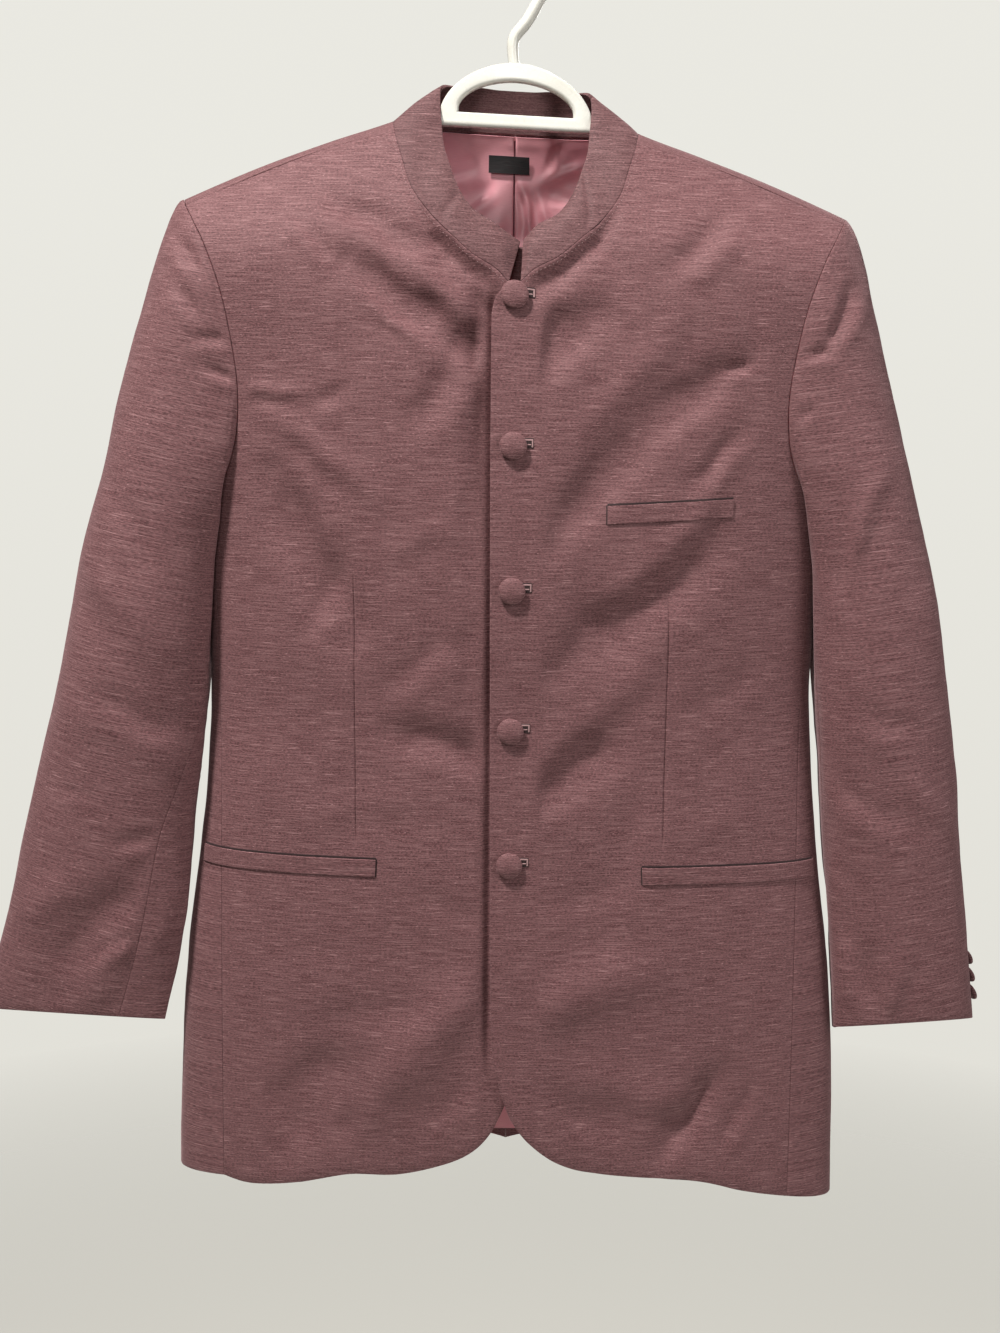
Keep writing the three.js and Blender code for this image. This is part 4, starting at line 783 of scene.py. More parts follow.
def side_place(side, turn, z):
    turn, z = np.broadcast_arrays(np.asarray(turn, float), np.asarray(z, float))
    point = on_side(turn, z)
    normal = normal_of(on_side, turn, z, TURN_STEP, NORMAL_STEP)
    x = point[..., 0]
    height = np.where(turn < 0, raised(side, x, z) + front_relief(side, x, z), 0)
    return point + normal * height[..., None], normal


# Meshes


def leaning(points):
    """The shoulders and the hanger hang a little down on the wearer's left."""
    z = points[..., 2]
    below = 1 - smooth(LEAN["arch_z"], LEAN["hook_z"], z)
    above = smooth(LEAN["chest_z"], LEAN["shoulder_z"], z)
    moved = points.copy()
    moved[..., 2] = z - LEAN["drop"] * np.tanh(points[..., 0] / LEAN["grow_x"]) * below * above
    return moved


def edged(data, radius):
    """Adds fine rows next to the first and last row, and gives every row's distance from the edge."""
    def between(first, second, reach):
        length = np.linalg.norm(second[:, :3] - first[:, :3], axis=1)
        share = np.minimum(reach / np.maximum(length, 1e-6), EDGE_REACH_SHARE)[:, None]
        return first + (second - first) * share

    reaches = [step * radius for step in EDGE_STEPS]
    start = [between(data[0], data[1], reach) for reach in reaches]
    end = [between(data[-1], data[-2], reach) for reach in reversed(reaches)]
    rows = np.concatenate([data[:1], start, data[1:-1], end, data[-1:]])
    middle = [radius] * (len(data) - 2)
    return rows, np.array([0, *reaches, *middle, *reversed(reaches), 0])


def sunk(distance, radius):
    return radius - np.sqrt(np.maximum(radius**2 - (radius - distance) ** 2, 0))


def shell(name, places, pattern, thickness, side="left", inset=0, radius=EDGE_RADIUS, materials=()):
    """A closed wall with rounded edges from a grid of places, with its pattern as a UV map."""
    points, normals = places
    data = np.concatenate([points, normals, pattern], axis=-1)
    data, row_distance = edged(data, radius)
    data, column_distance = edged(data.swapaxes(0, 1), radius)
    data = data.swapaxes(0, 1)
    sink = np.maximum(sunk(row_distance, radius)[:, None], sunk(column_distance, radius)[None, :])
    points, normals, pattern = data[..., :3], unit(data[..., 3:6]), data[..., 6:8]
    outer = points - normals * (inset + sink)[..., None]
    inner = points - normals * (inset + thickness)
    return wall(name, outer, inner, pattern, side, materials)


def wall(name, outer, inner, pattern, side, materials):
    rows, columns = outer.shape[:2]
    count = rows * columns
    number = np.arange(count).reshape(rows, columns)

    def quads(grid):
        corners = grid[:-1, :-1], grid[:-1, 1:], grid[1:, 1:], grid[1:, :-1]
        return np.stack(corners, axis=-1).reshape(-1, 4)

    def rim(line):
        return np.stack([line[1:], line[:-1], line[:-1] + count, line[1:] + count], axis=-1)

    border = np.concatenate([number[0], number[1:, -1], number[-1, -2::-1], number[-2::-1, 0]])
    faces = np.concatenate([quads(number), quads(number)[:, ::-1] + count, rim(border)])
    inner_faces = np.zeros(len(faces), int)
    inner_faces[(rows - 1) * (columns - 1):2 * (rows - 1) * (columns - 1)] = 1
    points = np.concatenate([outer.reshape(-1, 3), inner.reshape(-1, 3)])
    if side == "right":
        points = points * (-1, 1, 1)
    uv = np.concatenate([pattern.reshape(-1, 2)] * 2)
    return mesh_object(name, leaning(points), faces, uv, materials, inner_faces)


def mesh_object(name, points, faces, uv, materials, material_index=None):
    corners = points[faces]
    volume = np.einsum("ij,ij->i", corners[:, 0], np.cross(corners[:, 1], corners[:, 2])).sum()
    volume += np.einsum("ij,ij->i", corners[:, 0], np.cross(corners[:, 2], corners[:, 3])).sum()
    if volume < 0:
        faces = faces[:, ::-1]
    mesh = bpy.data.meshes.new(name)
    mesh.vertices.add(len(points))
    mesh.vertices.foreach_set("co", (points * MM).astype(np.float32).ravel())
    mesh.loops.add(faces.size)
    mesh.loops.foreach_set("vertex_index", faces.astype(np.int32).ravel())
    mesh.polygons.add(len(faces))
    mesh.polygons.foreach_set("loop_start", np.arange(0, faces.size, 4, dtype=np.int32))
    layer = mesh.uv_layers.new(name="pattern")
    layer.data.foreach_set("uv", (uv[faces.ravel()] * MM).astype(np.float32).ravel())
    for material in materials:
        mesh.materials.append(material)
    if material_index is not None and len(materials) > 1:
        mesh.polygons.foreach_set("material_index", material_index.astype(np.int32))
    mesh.update(calc_edges=True)
    mesh.polygons.foreach_set("use_smooth", np.ones(len(faces), bool))
    mesh.set_sharp_from_angle(angle=SHARP_ANGLE)
    piece = bpy.data.objects.new(name, mesh)
    bpy.context.scene.collection.objects.link(piece)
    return piece


def stacked(*columns):
    return np.stack(np.broadcast_arrays(*columns), axis=-1)


# The armhole, from the ridge down the front, under the arm and up the back

FRONT_TURN = turn_at(ARMHOLE_FRONT[-1][0], ARMHOLE_FRONT[-1][1], -1)
BACK_TURN = turn_at(ARMHOLE_BACK[0][0], ARMHOLE_BACK[0][1], 1)


def underarm_z(turn):
    end = np.where(turn < 0, FRONT_TURN, BACK_TURN)
    end_z = np.where(turn < 0, ARMHOLE_FRONT[-1][1], ARMHOLE_BACK[0][1])
    return UNDERARM_Z + (end_z - UNDERARM_Z) * (turn / end) ** 2


def over_ridge_edge():
    share = even(OVER_RIDGE_ROWS * SPLIT)
    seam_x, seam_z = ARMHOLE_FRONT[0]
    return stacked(RIDGE_END_X + (seam_x - RIDGE_END_X) * share, drop_at(seam_x, seam_z, -1) * share)


def front_armhole_edge():
    return spaced(ARMHOLE_FRONT, even(ARMHOLE_FRONT_ROWS * SPLIT))


def under_edge():
    turn = FRONT_TURN + (BACK_TURN - FRONT_TURN) * even(SIDE_COLUMNS * SPLIT)
    return stacked(turn, underarm_z(turn))


def back_armhole_edge():
    rows = [(x, float(drop_at(x, z, 1))) for x, z in ARMHOLE_BACK[:-1]] + [(RIDGE_END_X, 0)]
    return spaced(rows, even(ARMHOLE_BACK_ROWS * SPLIT))


def armhole_places(side):
    ridge, front, under, back = over_ridge_edge(), front_armhole_edge(), under_edge(), back_armhole_edge()
    parts = [
        shoulder_place(side, ridge[:, 0], ridge[:, 1], fine=False),
        shoulder_place(side, front[1:, 0], drop_at(front[1:, 0], front[1:, 1], -1), fine=False),
        side_place(side, under[1:, 0], under[1:, 1]),
        shoulder_place(side, back[1:, 0], back[1:, 1], fine=False),
    ]
    return np.concatenate([part[0] for part in parts]), np.concatenate([part[1] for part in parts])


# Body panels


def filled(left, right, bottom, top, u):
    """A grid that fills the outline between two edges and two end curves, with u across each row."""
    v = even(len(left) - 1)[:, None]
    across = u[..., None]
    level = left[:, None] + (right - left)[:, None] * across
    low = left[0] + (right[0] - left[0]) * across
    high = left[-1] + (right[-1] - left[-1]) * across
    shape = u.shape + (2,)
    start = spaced(bottom, u.ravel()).reshape(shape)
    end = spaced(top, u.ravel()).reshape(shape)
    return level + (start - low) * ((1 - v) ** 3)[..., None] + (end - high) * (v**3)[..., None]


def front_columns(left, right, side):
    """Shares across each row, with close columns along the dart."""
    width = (right - left)[:, None]
    centre = (DARTS[side][0] - left)[:, None] / width
    steps = np.array(DART_STEPS)[None, :] / width
    first = even(FRONT_HALF_COLUMNS)[None, :-1] * (centre + steps[:, :1])
    last = 1 - even(FRONT_HALF_COLUMNS)[None, :-1][:, ::-1] * (1 - centre - steps[:, -1:])
    return np.concatenate([first, centre + steps, last], axis=1)


def dart_shift(grid, side):
    """The move across that brings the close columns onto the dart, fading out towards the panel's edges."""
    rows, columns = grid.shape[:2]
    centre = FRONT_HALF_COLUMNS + len(DART_STEPS) // 2
    column = np.arange(columns)
    near = (np.abs(column - centre) - len(DART_STEPS) / 2).clip(0) / FRONT_HALF_COLUMNS
    level = even(rows - 1)
    inside = smooth(0, DART_SHIFT_FADE["low"], level) * smooth(0, DART_SHIFT_FADE["high"], 1 - level)
    away = DARTS[side][0] - grid[:, centre, 0]
    return away[:, None] * inside[:, None] * (1 - smooth(0, 1, near))[None, :]


def front_panel(side, materials):
    edge = FRONT_EDGE + NECK_CORNER[side][:1]
    row = NECK_SHOULDER_ROW * even(NECK_ROWS * SPLIT)
    neck = stacked(at_row(NECK["x"], row), at_row(NECK["z"], row))
    corner = spaced(NECK_CORNER[side], even(CORNER_ROWS * SPLIT))
    left = np.concatenate([spaced(edge, even(EDGE_ROWS * SPLIT)), corner[1:], neck[1:]])
    z = HEM[side][-1][1] + (ARMHOLE_FRONT[-1][1] - HEM[side][-1][1]) * even(FRONT_SEAM_ROWS * SPLIT)
    seam = stacked(look(FRONT_SIDE_SEAM, "z", z, "x") - HALF_GAP, z)
    armhole = front_armhole_edge()[::-1] - (HALF_GAP, 0)
    right = np.concatenate([seam, armhole[1:]])
    bottom = HEM[side][:-1] + [tuple(right[0])]
    top = SHOULDER_SEAM[:-1] + [tuple(right[-1])]
    u = front_columns(left[:, 0], right[:, 0], side)
    grid = filled(left, right, bottom, top, u)
    grid[..., 0] += dart_shift(grid, side)
    grid[-1, :, 1] -= HALF_GAP
    places = front_place(side, grid[..., 0], grid[..., 1])
    return shell(f"front_panel_{side}", places, grid, BODY_WALL, side, materials=materials)


def side_panel(side, materials):
    front, middle, back = SIDE_HEM[side]
    gap_turn = HALF_GAP / CLOTH_PER_RADIAN
    v, u = even(SIDE_ROWS)[:, None], even(SIDE_COLUMNS * SPLIT)[None, :]
    top_turn = FRONT_TURN + (BACK_TURN - FRONT_TURN) * u
    hem_z = front + (back - front) * u + (2 * middle - front - back) * 2 * u * (1 - u)
    z = hem_z + (underarm_z(top_turn) - HALF_GAP - hem_z) * v
    start = turn_at(look(FRONT_SIDE_SEAM, "z", z, "x"), z, -1) + gap_turn
    end = turn_at(look(BACK_SIDE_SEAM, "z", z, "x"), z, 1) - gap_turn
    points, normals = side_place(side, start + (end - start) * u, z)
    free = faded_ends(u, SIDE_FADE["across"]) * faded_ends(v, SIDE_FADE["along"])
    place = SIDE_SPAN * u, z
    bumps = waves(f"side_{side}", place, place)
    points = points + normals * (free * bumps)[..., None]
    pattern = stacked(SIDE_PATTERN_WIDTH * u, z)
    return shell(f"side_panel_{side}", (points, normals), pattern, BODY_WALL, side, materials=materials)


NECK_DROPS = np.where(NECK["face"] == 0, 0, drop_at(NECK["x"], NECK["z"], NECK["face"]))


def back_centre(z):
    return stacked(HALF_GAP, drop_at(HALF_GAP, z, 1))


def back_neck(row):
    return stacked(np.maximum(at_row(NECK["x"], row), HALF_GAP), at_row(NECK_DROPS, row))


def back_panel(side, materials):
    neck_z = NECK["z"][-1]
    low = back_centre(BACK_HEM_Z + (BACK_MIDDLE_Z - BACK_HEM_Z) * even(BACK_LOW_ROWS * SPLIT))
    rise = (1 - even(BACK_HIGH_ROWS * SPLIT)) ** ROUND_SPACING
    high = back_centre(neck_z + (BACK_MIDDLE_Z - neck_z) * rise)
    neck = back_neck(NECK_LAST_ROW + (NECK_RIDGE_ROW - NECK_LAST_ROW) * even(BACK_NECK_ROWS * SPLIT))
    over = back_neck(NECK_RIDGE_ROW + (NECK_SHOULDER_ROW - NECK_RIDGE_ROW) * even(OVER_RIDGE_ROWS * SPLIT))
    left = np.concatenate([low, high[1:], neck[1:], over[1:]])
    z = SIDE_HEM[side][2] + (ARMHOLE_BACK[0][1] - SIDE_HEM[side][2]) * even(BACK_LOW_ROWS * SPLIT)
    seam_x = look(BACK_SIDE_SEAM, "z", z, "x") - HALF_GAP
    seam = stacked(seam_x, drop_at(seam_x, z, 1))
    armhole, ridge = back_armhole_edge() - (HALF_GAP, 0), over_ridge_edge() - (HALF_GAP, 0)
    right = np.concatenate([seam, armhole[1:], ridge[1:]])
    shoulder = [(x, float(drop_at(x, z + HALF_GAP, -1))) for x, z in SHOULDER_SEAM]
    shoulder[0], shoulder[-1] = tuple(left[-1]), tuple(right[-1])
    u = np.tile(even(BACK_COLUMNS), (len(left), 1))
    grid = filled(left, right, [tuple(left[0]), tuple(right[0])], shoulder, u)
    grid[-1, :, 1] += SEAM_GAP
    places = shoulder_place(side, grid[..., 0], grid[..., 1])
    return shell(f"back_panel_{side}", places, -grid, BODY_WALL, side, materials=materials)


# Sleeves


def body_edge(y, z):
    side = look(BODY, "z", z, "side")
    reach = np.abs(np.where(y < side, look(BODY, "z", z, "front"), look(BODY, "z", z, "back")) - side)
    share = np.minimum(np.abs(y - side) / reach, 1)
    return look(BODY, "z", z, "half_width") * (1 - share**SECTION_POWER) ** (1 / SECTION_POWER)


def kept_clear(points, share):
    """Points moved sideways out of the body."""
    y, z = points[..., 1], points[..., 2]
    under_arm = 1 - smooth(CLEAR_BELOW_Z, CLEAR_ABOVE_Z, z)
    clearance = START_CLEARANCE + (BODY_CLEARANCE - START_CLEARANCE) * share
    edge = (body_edge(y, z) + clearance) * under_arm
    blend = BLEND_START + (BLEND_FREE - BLEND_START) * share
    beyond = (points[..., 0] - edge) / blend
    x = np.maximum(points[..., 0], edge) + blend * np.log1p(np.exp(-np.abs(beyond)))
    return stacked(x, y, z)


def bowed(value):
    return np.sign(value) * np.abs(value) ** (2 / RING_POWER)


def ring_point(rings, turn, place):
    angle = 2 * math.pi * turn
    across = (1 - bowed(np.cos(angle))) / 2
    forward = bowed(np.sin(angle))
    at = lambda name: at_row(rings[name], place)
    x = at("out_x") + (at("in_x") - at("out_x")) * across
    z = at("out_z") + (at("in_z") - at("out_z")) * across
    y = (at("front") + at("back")) / 2 + (at("front") - at("back")) / 2 * forward
    return stacked(x, y, z + at("rise") * forward)


def armhole_starts(side):
    """Where the sleeve starts at each place of the armhole, and how it leaves."""
    points, normals = armhole_places(side)
    lengths = np.concatenate([[0], np.cumsum(np.linalg.norm(np.diff(points, axis=0), axis=1))])
    turn = lengths[:-1] / lengths[-1]
    points, normals = points[:-1], normals[:-1]
    tangent = unit(np.roll(points, -1, axis=0) - np.roll(points, 1, axis=0))
    inwards = unit(np.cross(normals, tangent))
    extra = SLEEVES[side]["cap_angle"] * np.maximum(np.cos(2 * math.pi * turn), 0) ** 2
    angle = np.radians(look(LEAVING, "turn", turn, "angle") + extra)[:, None]
    leaving = inwards * np.cos(angle) + normals * np.sin(angle)
    rise = SEAM_GAP * (1 - np.cos(angle)) * START_LIFT
    start = points + inwards * HALF_GAP + normals * rise
    outward = normals * np.cos(angle) - inwards * np.sin(angle)
    return turn, start, outward, leaving * look(LEAVING, "turn", turn, "reach")[:, None]


def sleeve_points(side, start, rate, turn, t):
    rings = SLEEVES[side]["rings"]
    last = len(rings["rise"]) - 1
    ring_row = np.maximum(last * (t - CAP_SHARE) / (1 - CAP_SHARE), 0)
    hanging = kept_clear(ring_point(rings, turn, ring_row), 1)
    s = np.minimum(t / CAP_SHARE, 1)
    end = ring_point(rings, turn, 0 * t)
    end_rate = unit(ring_point(rings, turn, RATE_STEP + 0 * t) - end)
    end_rate = end_rate * CAP_RATE * np.linalg.norm(end - start, axis=-1, keepdims=True)
    cap = hermite(start[None], rate[None], end, end_rate, s[..., None])
    clear = kept_clear(cap, smooth(0, 1, s))
    cap = np.where((s == 0)[..., None], cap, clear)
    return np.where((t >= CAP_SHARE)[..., None], hanging, cap)


def sleeve_turns(side, turn, t):
    """Each column's turn down the length, in step with the two seams, and the seam columns."""
    seams = SLEEVES[side]["seams"]
    coarse = turn[::SPLIT]
    column = {name: int(np.argmin(np.abs(coarse - seams[name][0]))) * SPLIT for name in ("front", "back")}
    first = {name: turn[column[name]] for name in column}
    join = (1 - t) ** SEAM_JOIN_POWER
    line = {name: look(seams, "t", t, name) + (first[name] - seams[name][0]) * join for name in column}
    own = np.concatenate([turn[column["front"]:], turn[:column["front"]] + 1])
    under = own <= first["back"] + 1e-9
    share_under = (own - first["front"]) / (first["back"] - first["front"])
    share_top = (own - first["back"]) / (first["front"] + 1 - first["back"])
    on_under = line["front"] + (line["back"] - line["front"]) * share_under
    on_top = line["back"] + (line["front"] + 1 - line["back"]) * share_top
    return np.where(under, on_under, on_top), column


def sleeve_relief(side, points, normals, t, free):
    x, z = points[..., 0], points[..., 2]
    facing_front = smooth(*FACING, -normals[..., 1])
    facing_back = smooth(*FACING, normals[..., 1])
    around = np.arctan2(normals[..., 1], normals[..., 0]) * SLEEVE_RADIUS
    place = around + SLEEVE_WAVE_SHIFT
    bumps = waves(f"sleeve_{side}", (place, z), (place, z + SLEEVE_SLANT * around), (place, z))
    fine = creased(SLEEVE_CREASES[side], x, z) * facing_front + creased(ELBOW_CREASES, x, z) * facing_back
    pucker = PUCKER["height"] * np.sin(around / PUCKER["length"])
    pucker = pucker * smooth(*PUCKER["start"], t) * (1 - smooth(*PUCKER["end"], t))
    return free * (fine + bumps) + pucker


def sleeve_grid(side):
    turn, start, outward, rate = armhole_starts(side)
    below_cap = CAP_SHARE + (1 - CAP_SHARE) * even(SLEEVE_ROWS)[1:]
    t = np.concatenate([CAP_SHARE * even(CAP_ROWS), below_cap])[:, None]
    turns, column = sleeve_turns(side, turn, t)
    order = np.roll(np.arange(len(turn)), -column["front"])
    points = sleeve_points(side, start[order], rate[order], turns, t + 0 * turns)
    around = np.roll(points, -1, axis=1) - np.roll(points, 1, axis=1)
    down = np.concatenate([points[1:2] - points[:1], points[2:] - points[:-2], points[-1:] - points[-2:-1]])
    normals = unit(np.cross(around, down))
    normals[0] = outward[order]
    count = column["back"] - column["front"]
    places = np.arange(len(turn))
    from_seam = np.minimum(np.minimum(places, np.abs(places - count)), len(turn) - places)
    free = smooth(0, SLEEVE_FADE["columns"], from_seam)[None, :]
    free = free * smooth(0, SLEEVE_FADE["head"], t) * smooth(0, SLEEVE_FADE["cuff"], 1 - t)
    points = points + normals * sleeve_relief(side, points, normals, t, free)[..., None]
    return points, normals, sleeve_pattern(side, points, turns), count


def sleeve_pattern(side, points, turns):
    """Pattern places round the sleeve and down its length, with the weft square to its axis."""
    rings = SLEEVES[side]["rings"]
    centre = (rings["out_x"] + rings["in_x"]) / 2
    level = (rings["out_z"] + rings["in_z"]) / 2
    slope = (centre[-1] - centre[0]) / (level[0] - level[-1])
    across = (points[..., 0] - centre[0] - slope * (level[0] - points[..., 2])) / SLEEVE_HALF_WIDTH
    depth = -points[..., 1] / SLEEVE_HALF_DEPTH
    power = RING_POWER / 2
    upright = np.sign(across) * np.abs(across) ** power
    forward = np.sign(depth) * np.abs(depth) ** power
    turn = np.arctan2(forward, upright) / (2 * math.pi)
    turn = turn + np.round(turns - turn)
    down = (points[..., 2] - slope * points[..., 0]) / math.hypot(1, slope)
    return stacked(turn * SLEEVE_GIRTH, down)


def sleeve_pieces(side, materials):
    points, normals, pattern, count = sleeve_grid(side)
    closed = [np.concatenate([part, part[:, :1]], axis=1) for part in (points, normals, pattern)]
    closed[2][:, -1, 0] += SLEEVE_GIRTH
    pieces = []
    for name, columns in (("under", slice(0, count + 1)), ("top", slice(count, None))):
        own_points, own_normals, own_pattern = (part[:, columns].copy() for part in closed)
        own_points[:, 0] += unit(own_points[:, 1] - own_points[:, 0]) * HALF_GAP
        own_points[:, -1] += unit(own_points[:, -2] - own_points[:, -1]) * HALF_GAP
        places = own_points, own_normals
        piece = shell(f"sleeve_{name}_{side}", places, own_pattern, SLEEVE_WALL, side, materials=materials)
        pieces.append((piece, f"sleeve_{side}_{name}"))
    return pieces, points[:, count], normals[:, count]


# Collar


def collar_half(side):
    row = NECK_LAST_ROW * even(COLLAR_COLUMNS)
    top_of = {name: NECK[name].copy() for name in ("top_x", "top_y", "top_z")}
    if side == "right":
        for name, value in COLLAR_RIGHT_END.items():
            top_of[name][0] = value
    drop = at_row(NECK_DROPS, row)
    drop = np.where(row <= NECK_SHOULDER_ROW, np.minimum(drop, FRONT_DROP), drop)
    place, base = shoulder_place(side, at_row(NECK["x"], row), drop, fine=False)
    top = stacked(*(at_row(top_of[name], row) for name in ("top_x", "top_y", "top_z")))
    bottom = place + unit(top - place) * SEAM_GAP
    mirror = (1, 1, 1) if side == "left" else (-1, 1, 1)
    return bottom * mirror, top * mirror, base * mirror


def collar_band(materials):
    left, right = collar_half("left"), collar_half("right")
    bottom, top, base = (np.concatenate([a, b[::-1][1:]]) for a, b in zip(left, right))
    v = even(COLLAR_ROWS)[:, None, None]
    points = bottom + (top - bottom) * v
    around = np.concatenate([points[:, 1:2] - points[:, :1], points[:, 2:] - points[:, :-2],
                             points[:, -1:] - points[:, -2:-1]], axis=1)
    normals = unit(np.cross(around, (top - bottom) + 0 * v))
    length = np.concatenate([[0], np.cumsum(np.linalg.norm(np.diff(bottom, axis=0), axis=1))])
    relief = collar_relief(length, v[..., 0])
    points = points + normals * relief[..., None]
    base_share = 1 - smooth(0, COLLAR_BASE_SHARE, v)
    normals = unit(normals * (1 - base_share) + base * base_share)
    return shell("collar_band", (points, normals), points[..., [0, 2]], COLLAR_WALL, materials=materials)


def collar_relief(length, v):
    """How far the band's bulge, its two dimples and its soft bumps move it out."""
    along, up = np.broadcast_arrays(length[None, :], v * COLLAR_SPAN)
    end = COLLAR_FADE["end"]
    ends = smooth(0, end, along) * smooth(0, end, length[-1] - along)
    free = faded_ends(v, COLLAR_FADE["edge"]) * ends
    bumps = waves("collar", (along, 2 * up), (along, up))
    middles = (COLLAR_DIMPLE["left"], length[-1] - COLLAR_DIMPLE["right"])
    slanted = [along - middle - COLLAR_DIMPLE["slant"] * up for middle in middles]
    dimples = sum(-COLLAR_DIMPLE["depth"] * bell(off / COLLAR_DIMPLE["width"]) for off in slanted)
    from_end = np.minimum(along, length[-1] - along)
    bulge = COLLAR_BULGE["height"] + COLLAR_BULGE["front"] * (1 - smooth(*COLLAR_BULGE["fade"], from_end))
    bulge = bulge * np.sin(np.pi * v) * smooth(0, COLLAR_BULGE["end"], from_end)
    return free * (bumps + dimples) + bulge


def neck_tab(materials):
    """The small cloth stay that closes the opening behind the two collar ends."""
    v = even(NECK_TAB_CELLS)[:, None]
    u = even(NECK_TAB_CELLS)[None, :]
    z = NECK_TAB["low"] + (NECK_TAB["high"] - NECK_TAB["low"]) * v + 0 * u
    x = NECK_TAB["x"] + NECK_TAB["shift"] * v + NECK_TAB["width"] * (u - 0.5)
    wave = NECK_TAB_WAVE["height"] * np.sin(NECK_TAB_WAVE["across"] * u + NECK_TAB_WAVE["up"] * v)
    y = NECK_TAB["low_y"] + (NECK_TAB["high_y"] - NECK_TAB["low_y"]) * v + wave
    points = stacked(x, y, z)
    normals = stacked(0 * x, -1, NECK_TAB_UPWARD) + 0 * points
    return shell("neck_stay", (points, unit(normals)), stacked(x, z), NECK_TAB_WALL, materials=materials)


# What is laid on the panels


def laid(places, gap_low, gap_high):
    """Places moved out from the cloth, by one gap along the lowest row and another along the highest."""
    points, normals = places
    gap = gap_low + (gap_high - gap_low) * even(len(points) - 1)[:, None, None]
    return points + normals * gap, normals


def breast_grid(low, high, rows):
    s = even(BREAST_COLUMNS)[None, :]
    up = (low + (high - low) * even(rows))[:, None]
    x = BREAST_WELT["x0"] + (BREAST_WELT["x1"] - BREAST_WELT["x0"]) * s + 0 * up
    z = BREAST_WELT["z0"] + (BREAST_WELT["z1"] - BREAST_WELT["z0"]) * s + up
    return front_place("left", x, z), stacked(x, z)


def pocket_grid(side, low, high, rows):
    x0, z0, z1 = POCKET_WELT[side]
    start = turn_at(x0, z0, -1)
    end = turn_at(look(FRONT_SIDE_SEAM, "z", z1, "x"), z1, -1) + BEYOND_SEAM / CLOTH_PER_RADIAN
    s = even(POCKET_COLUMNS)[None, :]
    up = (low + (high - low) * even(rows))[:, None]
    turn = start + (end - start) * (1 - (1 - s) ** POCKET_SPACING) + 0 * up
    z = z0 + (z1 - z0) * s + up
    return side_place(side, turn, z), stacked(x0 + POCKET_PATTERN_WIDTH * s + 0 * up, z)


def welt(name, grid, side, materials):
    places, pattern = grid(-WELT_HEIGHT / 2, WELT_HEIGHT / 2, WELT_ROWS)
    places = laid(places, *WELT_GAPS)
    return shell(name, places, pattern, WELT_WALL, side, -WELT_WALL, WELT_RADIUS, materials)


def inlay(name, places, pattern, side, materials):
    """A thin strip of painted shade laid on the cloth, in the near-black cloth given to it."""
    places = laid(places, INLAY["gap"], INLAY["gap"])
    return shell(name, places, pattern, INLAY["wall"], side, -INLAY["wall"], INLAY["radius"], materials)


def pocket_mouth_shade(name, grid, side, materials):
    # A near-black strip of painted shade just above the welt's top edge, where the pocket mouth lies in
    # shadow
    places, pattern = grid(WELT_HEIGHT / 2 - MOUTH_OVERLAP, WELT_HEIGHT / 2 + MOUTH_HEIGHT, MOUTH_ROWS)
    return inlay(name, places, pattern, side, materials)


def welt_end_shade(name, grid, side, materials):
    """A near-black strip of painted shade down a welt's inner end."""
    (points, normals), pattern = grid(-WELT_HEIGHT / 2, WELT_HEIGHT / 2 + WELT_END_OVERLAP, WELT_ROWS)
    across = unit(points[:, 1:2] - points[:, :1]) * even(3)[None, :, None] * WELT_END_WIDTH
    places = points[:, :1] - across, normals[:, :1] + 0 * across
    pattern = pattern[:, :1] + 0 * across[..., :2]
    return inlay(name, places, pattern, side, materials)


def inside_back(x, drop):
    """Places across both back halves, creases and all."""
    size = np.abs(x)
    left, right = shoulder_place("left", size, drop), shoulder_place("right", size, drop)
    on_right = (x < 0)[..., None]
    mirror = stacked(np.where(x < 0, -1, 1), 1, 1)
    return np.where(on_right, right[0], left[0]) * mirror, np.where(on_right, right[1], left[1]) * mirror


def lining_half_width(z):
    low = look(BACK_SIDE_SEAM, "z", z, "x")
    rows = table("x z", *ARMHOLE_BACK)
    high = look(rows, "z", np.minimum(z, LINING_SHOULDER_Z), "x")
    return np.where(z < ARMHOLE_BACK[0][1], low, high) - LINING_SIDE_INSET


def lining_relief(u, v, x, z):
    """How far creases and bumps move the lining inwards, less the ridge along its centre seam."""
    label_x, label_z = (LABEL["x0"] + LABEL["x1"]) / 2, (LABEL["z0"] + LABEL["z1"]) / 2
    off_x, off_z = (x - label_x) / LABEL_CLEAR["x"], (z - label_z) / LABEL_CLEAR["z"]
    off_label = 1 - np.exp(-(off_x**4) - off_z**4)
    fade = smooth(0, LINING_FADE["hem"], v) * smooth(0, LINING_FADE["side"], 1 - np.abs(u))
    inside = off_label * fade * smooth(0, LINING_FADE["neck"], 1 - v)
    ridge = LINING_RIDGE["height"] * bell(x / LINING_RIDGE["width"])
    ridge = ridge * smooth(*LINING_RIDGE["low"], z) * off_label
    place = x + LINING_WAVE_SHIFT, z
    bumps = waves("lining", place, place)
    relief = np.clip(creased(BACK_LINING_CREASES, x, z) + bumps, *LINING_RELIEF)
    return inside * (relief + LINING_SINK) - LINING_RIDGE["share"] * ridge


def lining_seam_shade(places, pattern, inset, materials):
    """A dark strip of painted shade along the lining's centre seam, where its groove shows through the
    neck.
    """
    z = pattern[..., 1]
    middle = LINING_COLUMNS // 2
    rows = np.flatnonzero((z[:, middle] > LINING_SEAM["low"]) & (z[:, middle] < LINING_SEAM["high"]))
    first, last = LINING_SEAM["columns"]
    strip = np.ix_(rows, np.arange(middle + first, middle + last))
    places = tuple(part[strip] for part in places)
    inset = inset + LINING_WALL + LINING_SEAM["gap"]
    return shell("lining_seam_shade", places, pattern[strip], LINING_SEAM["wall"], "left", inset,
                 LINING_SEAM["radius"], materials)


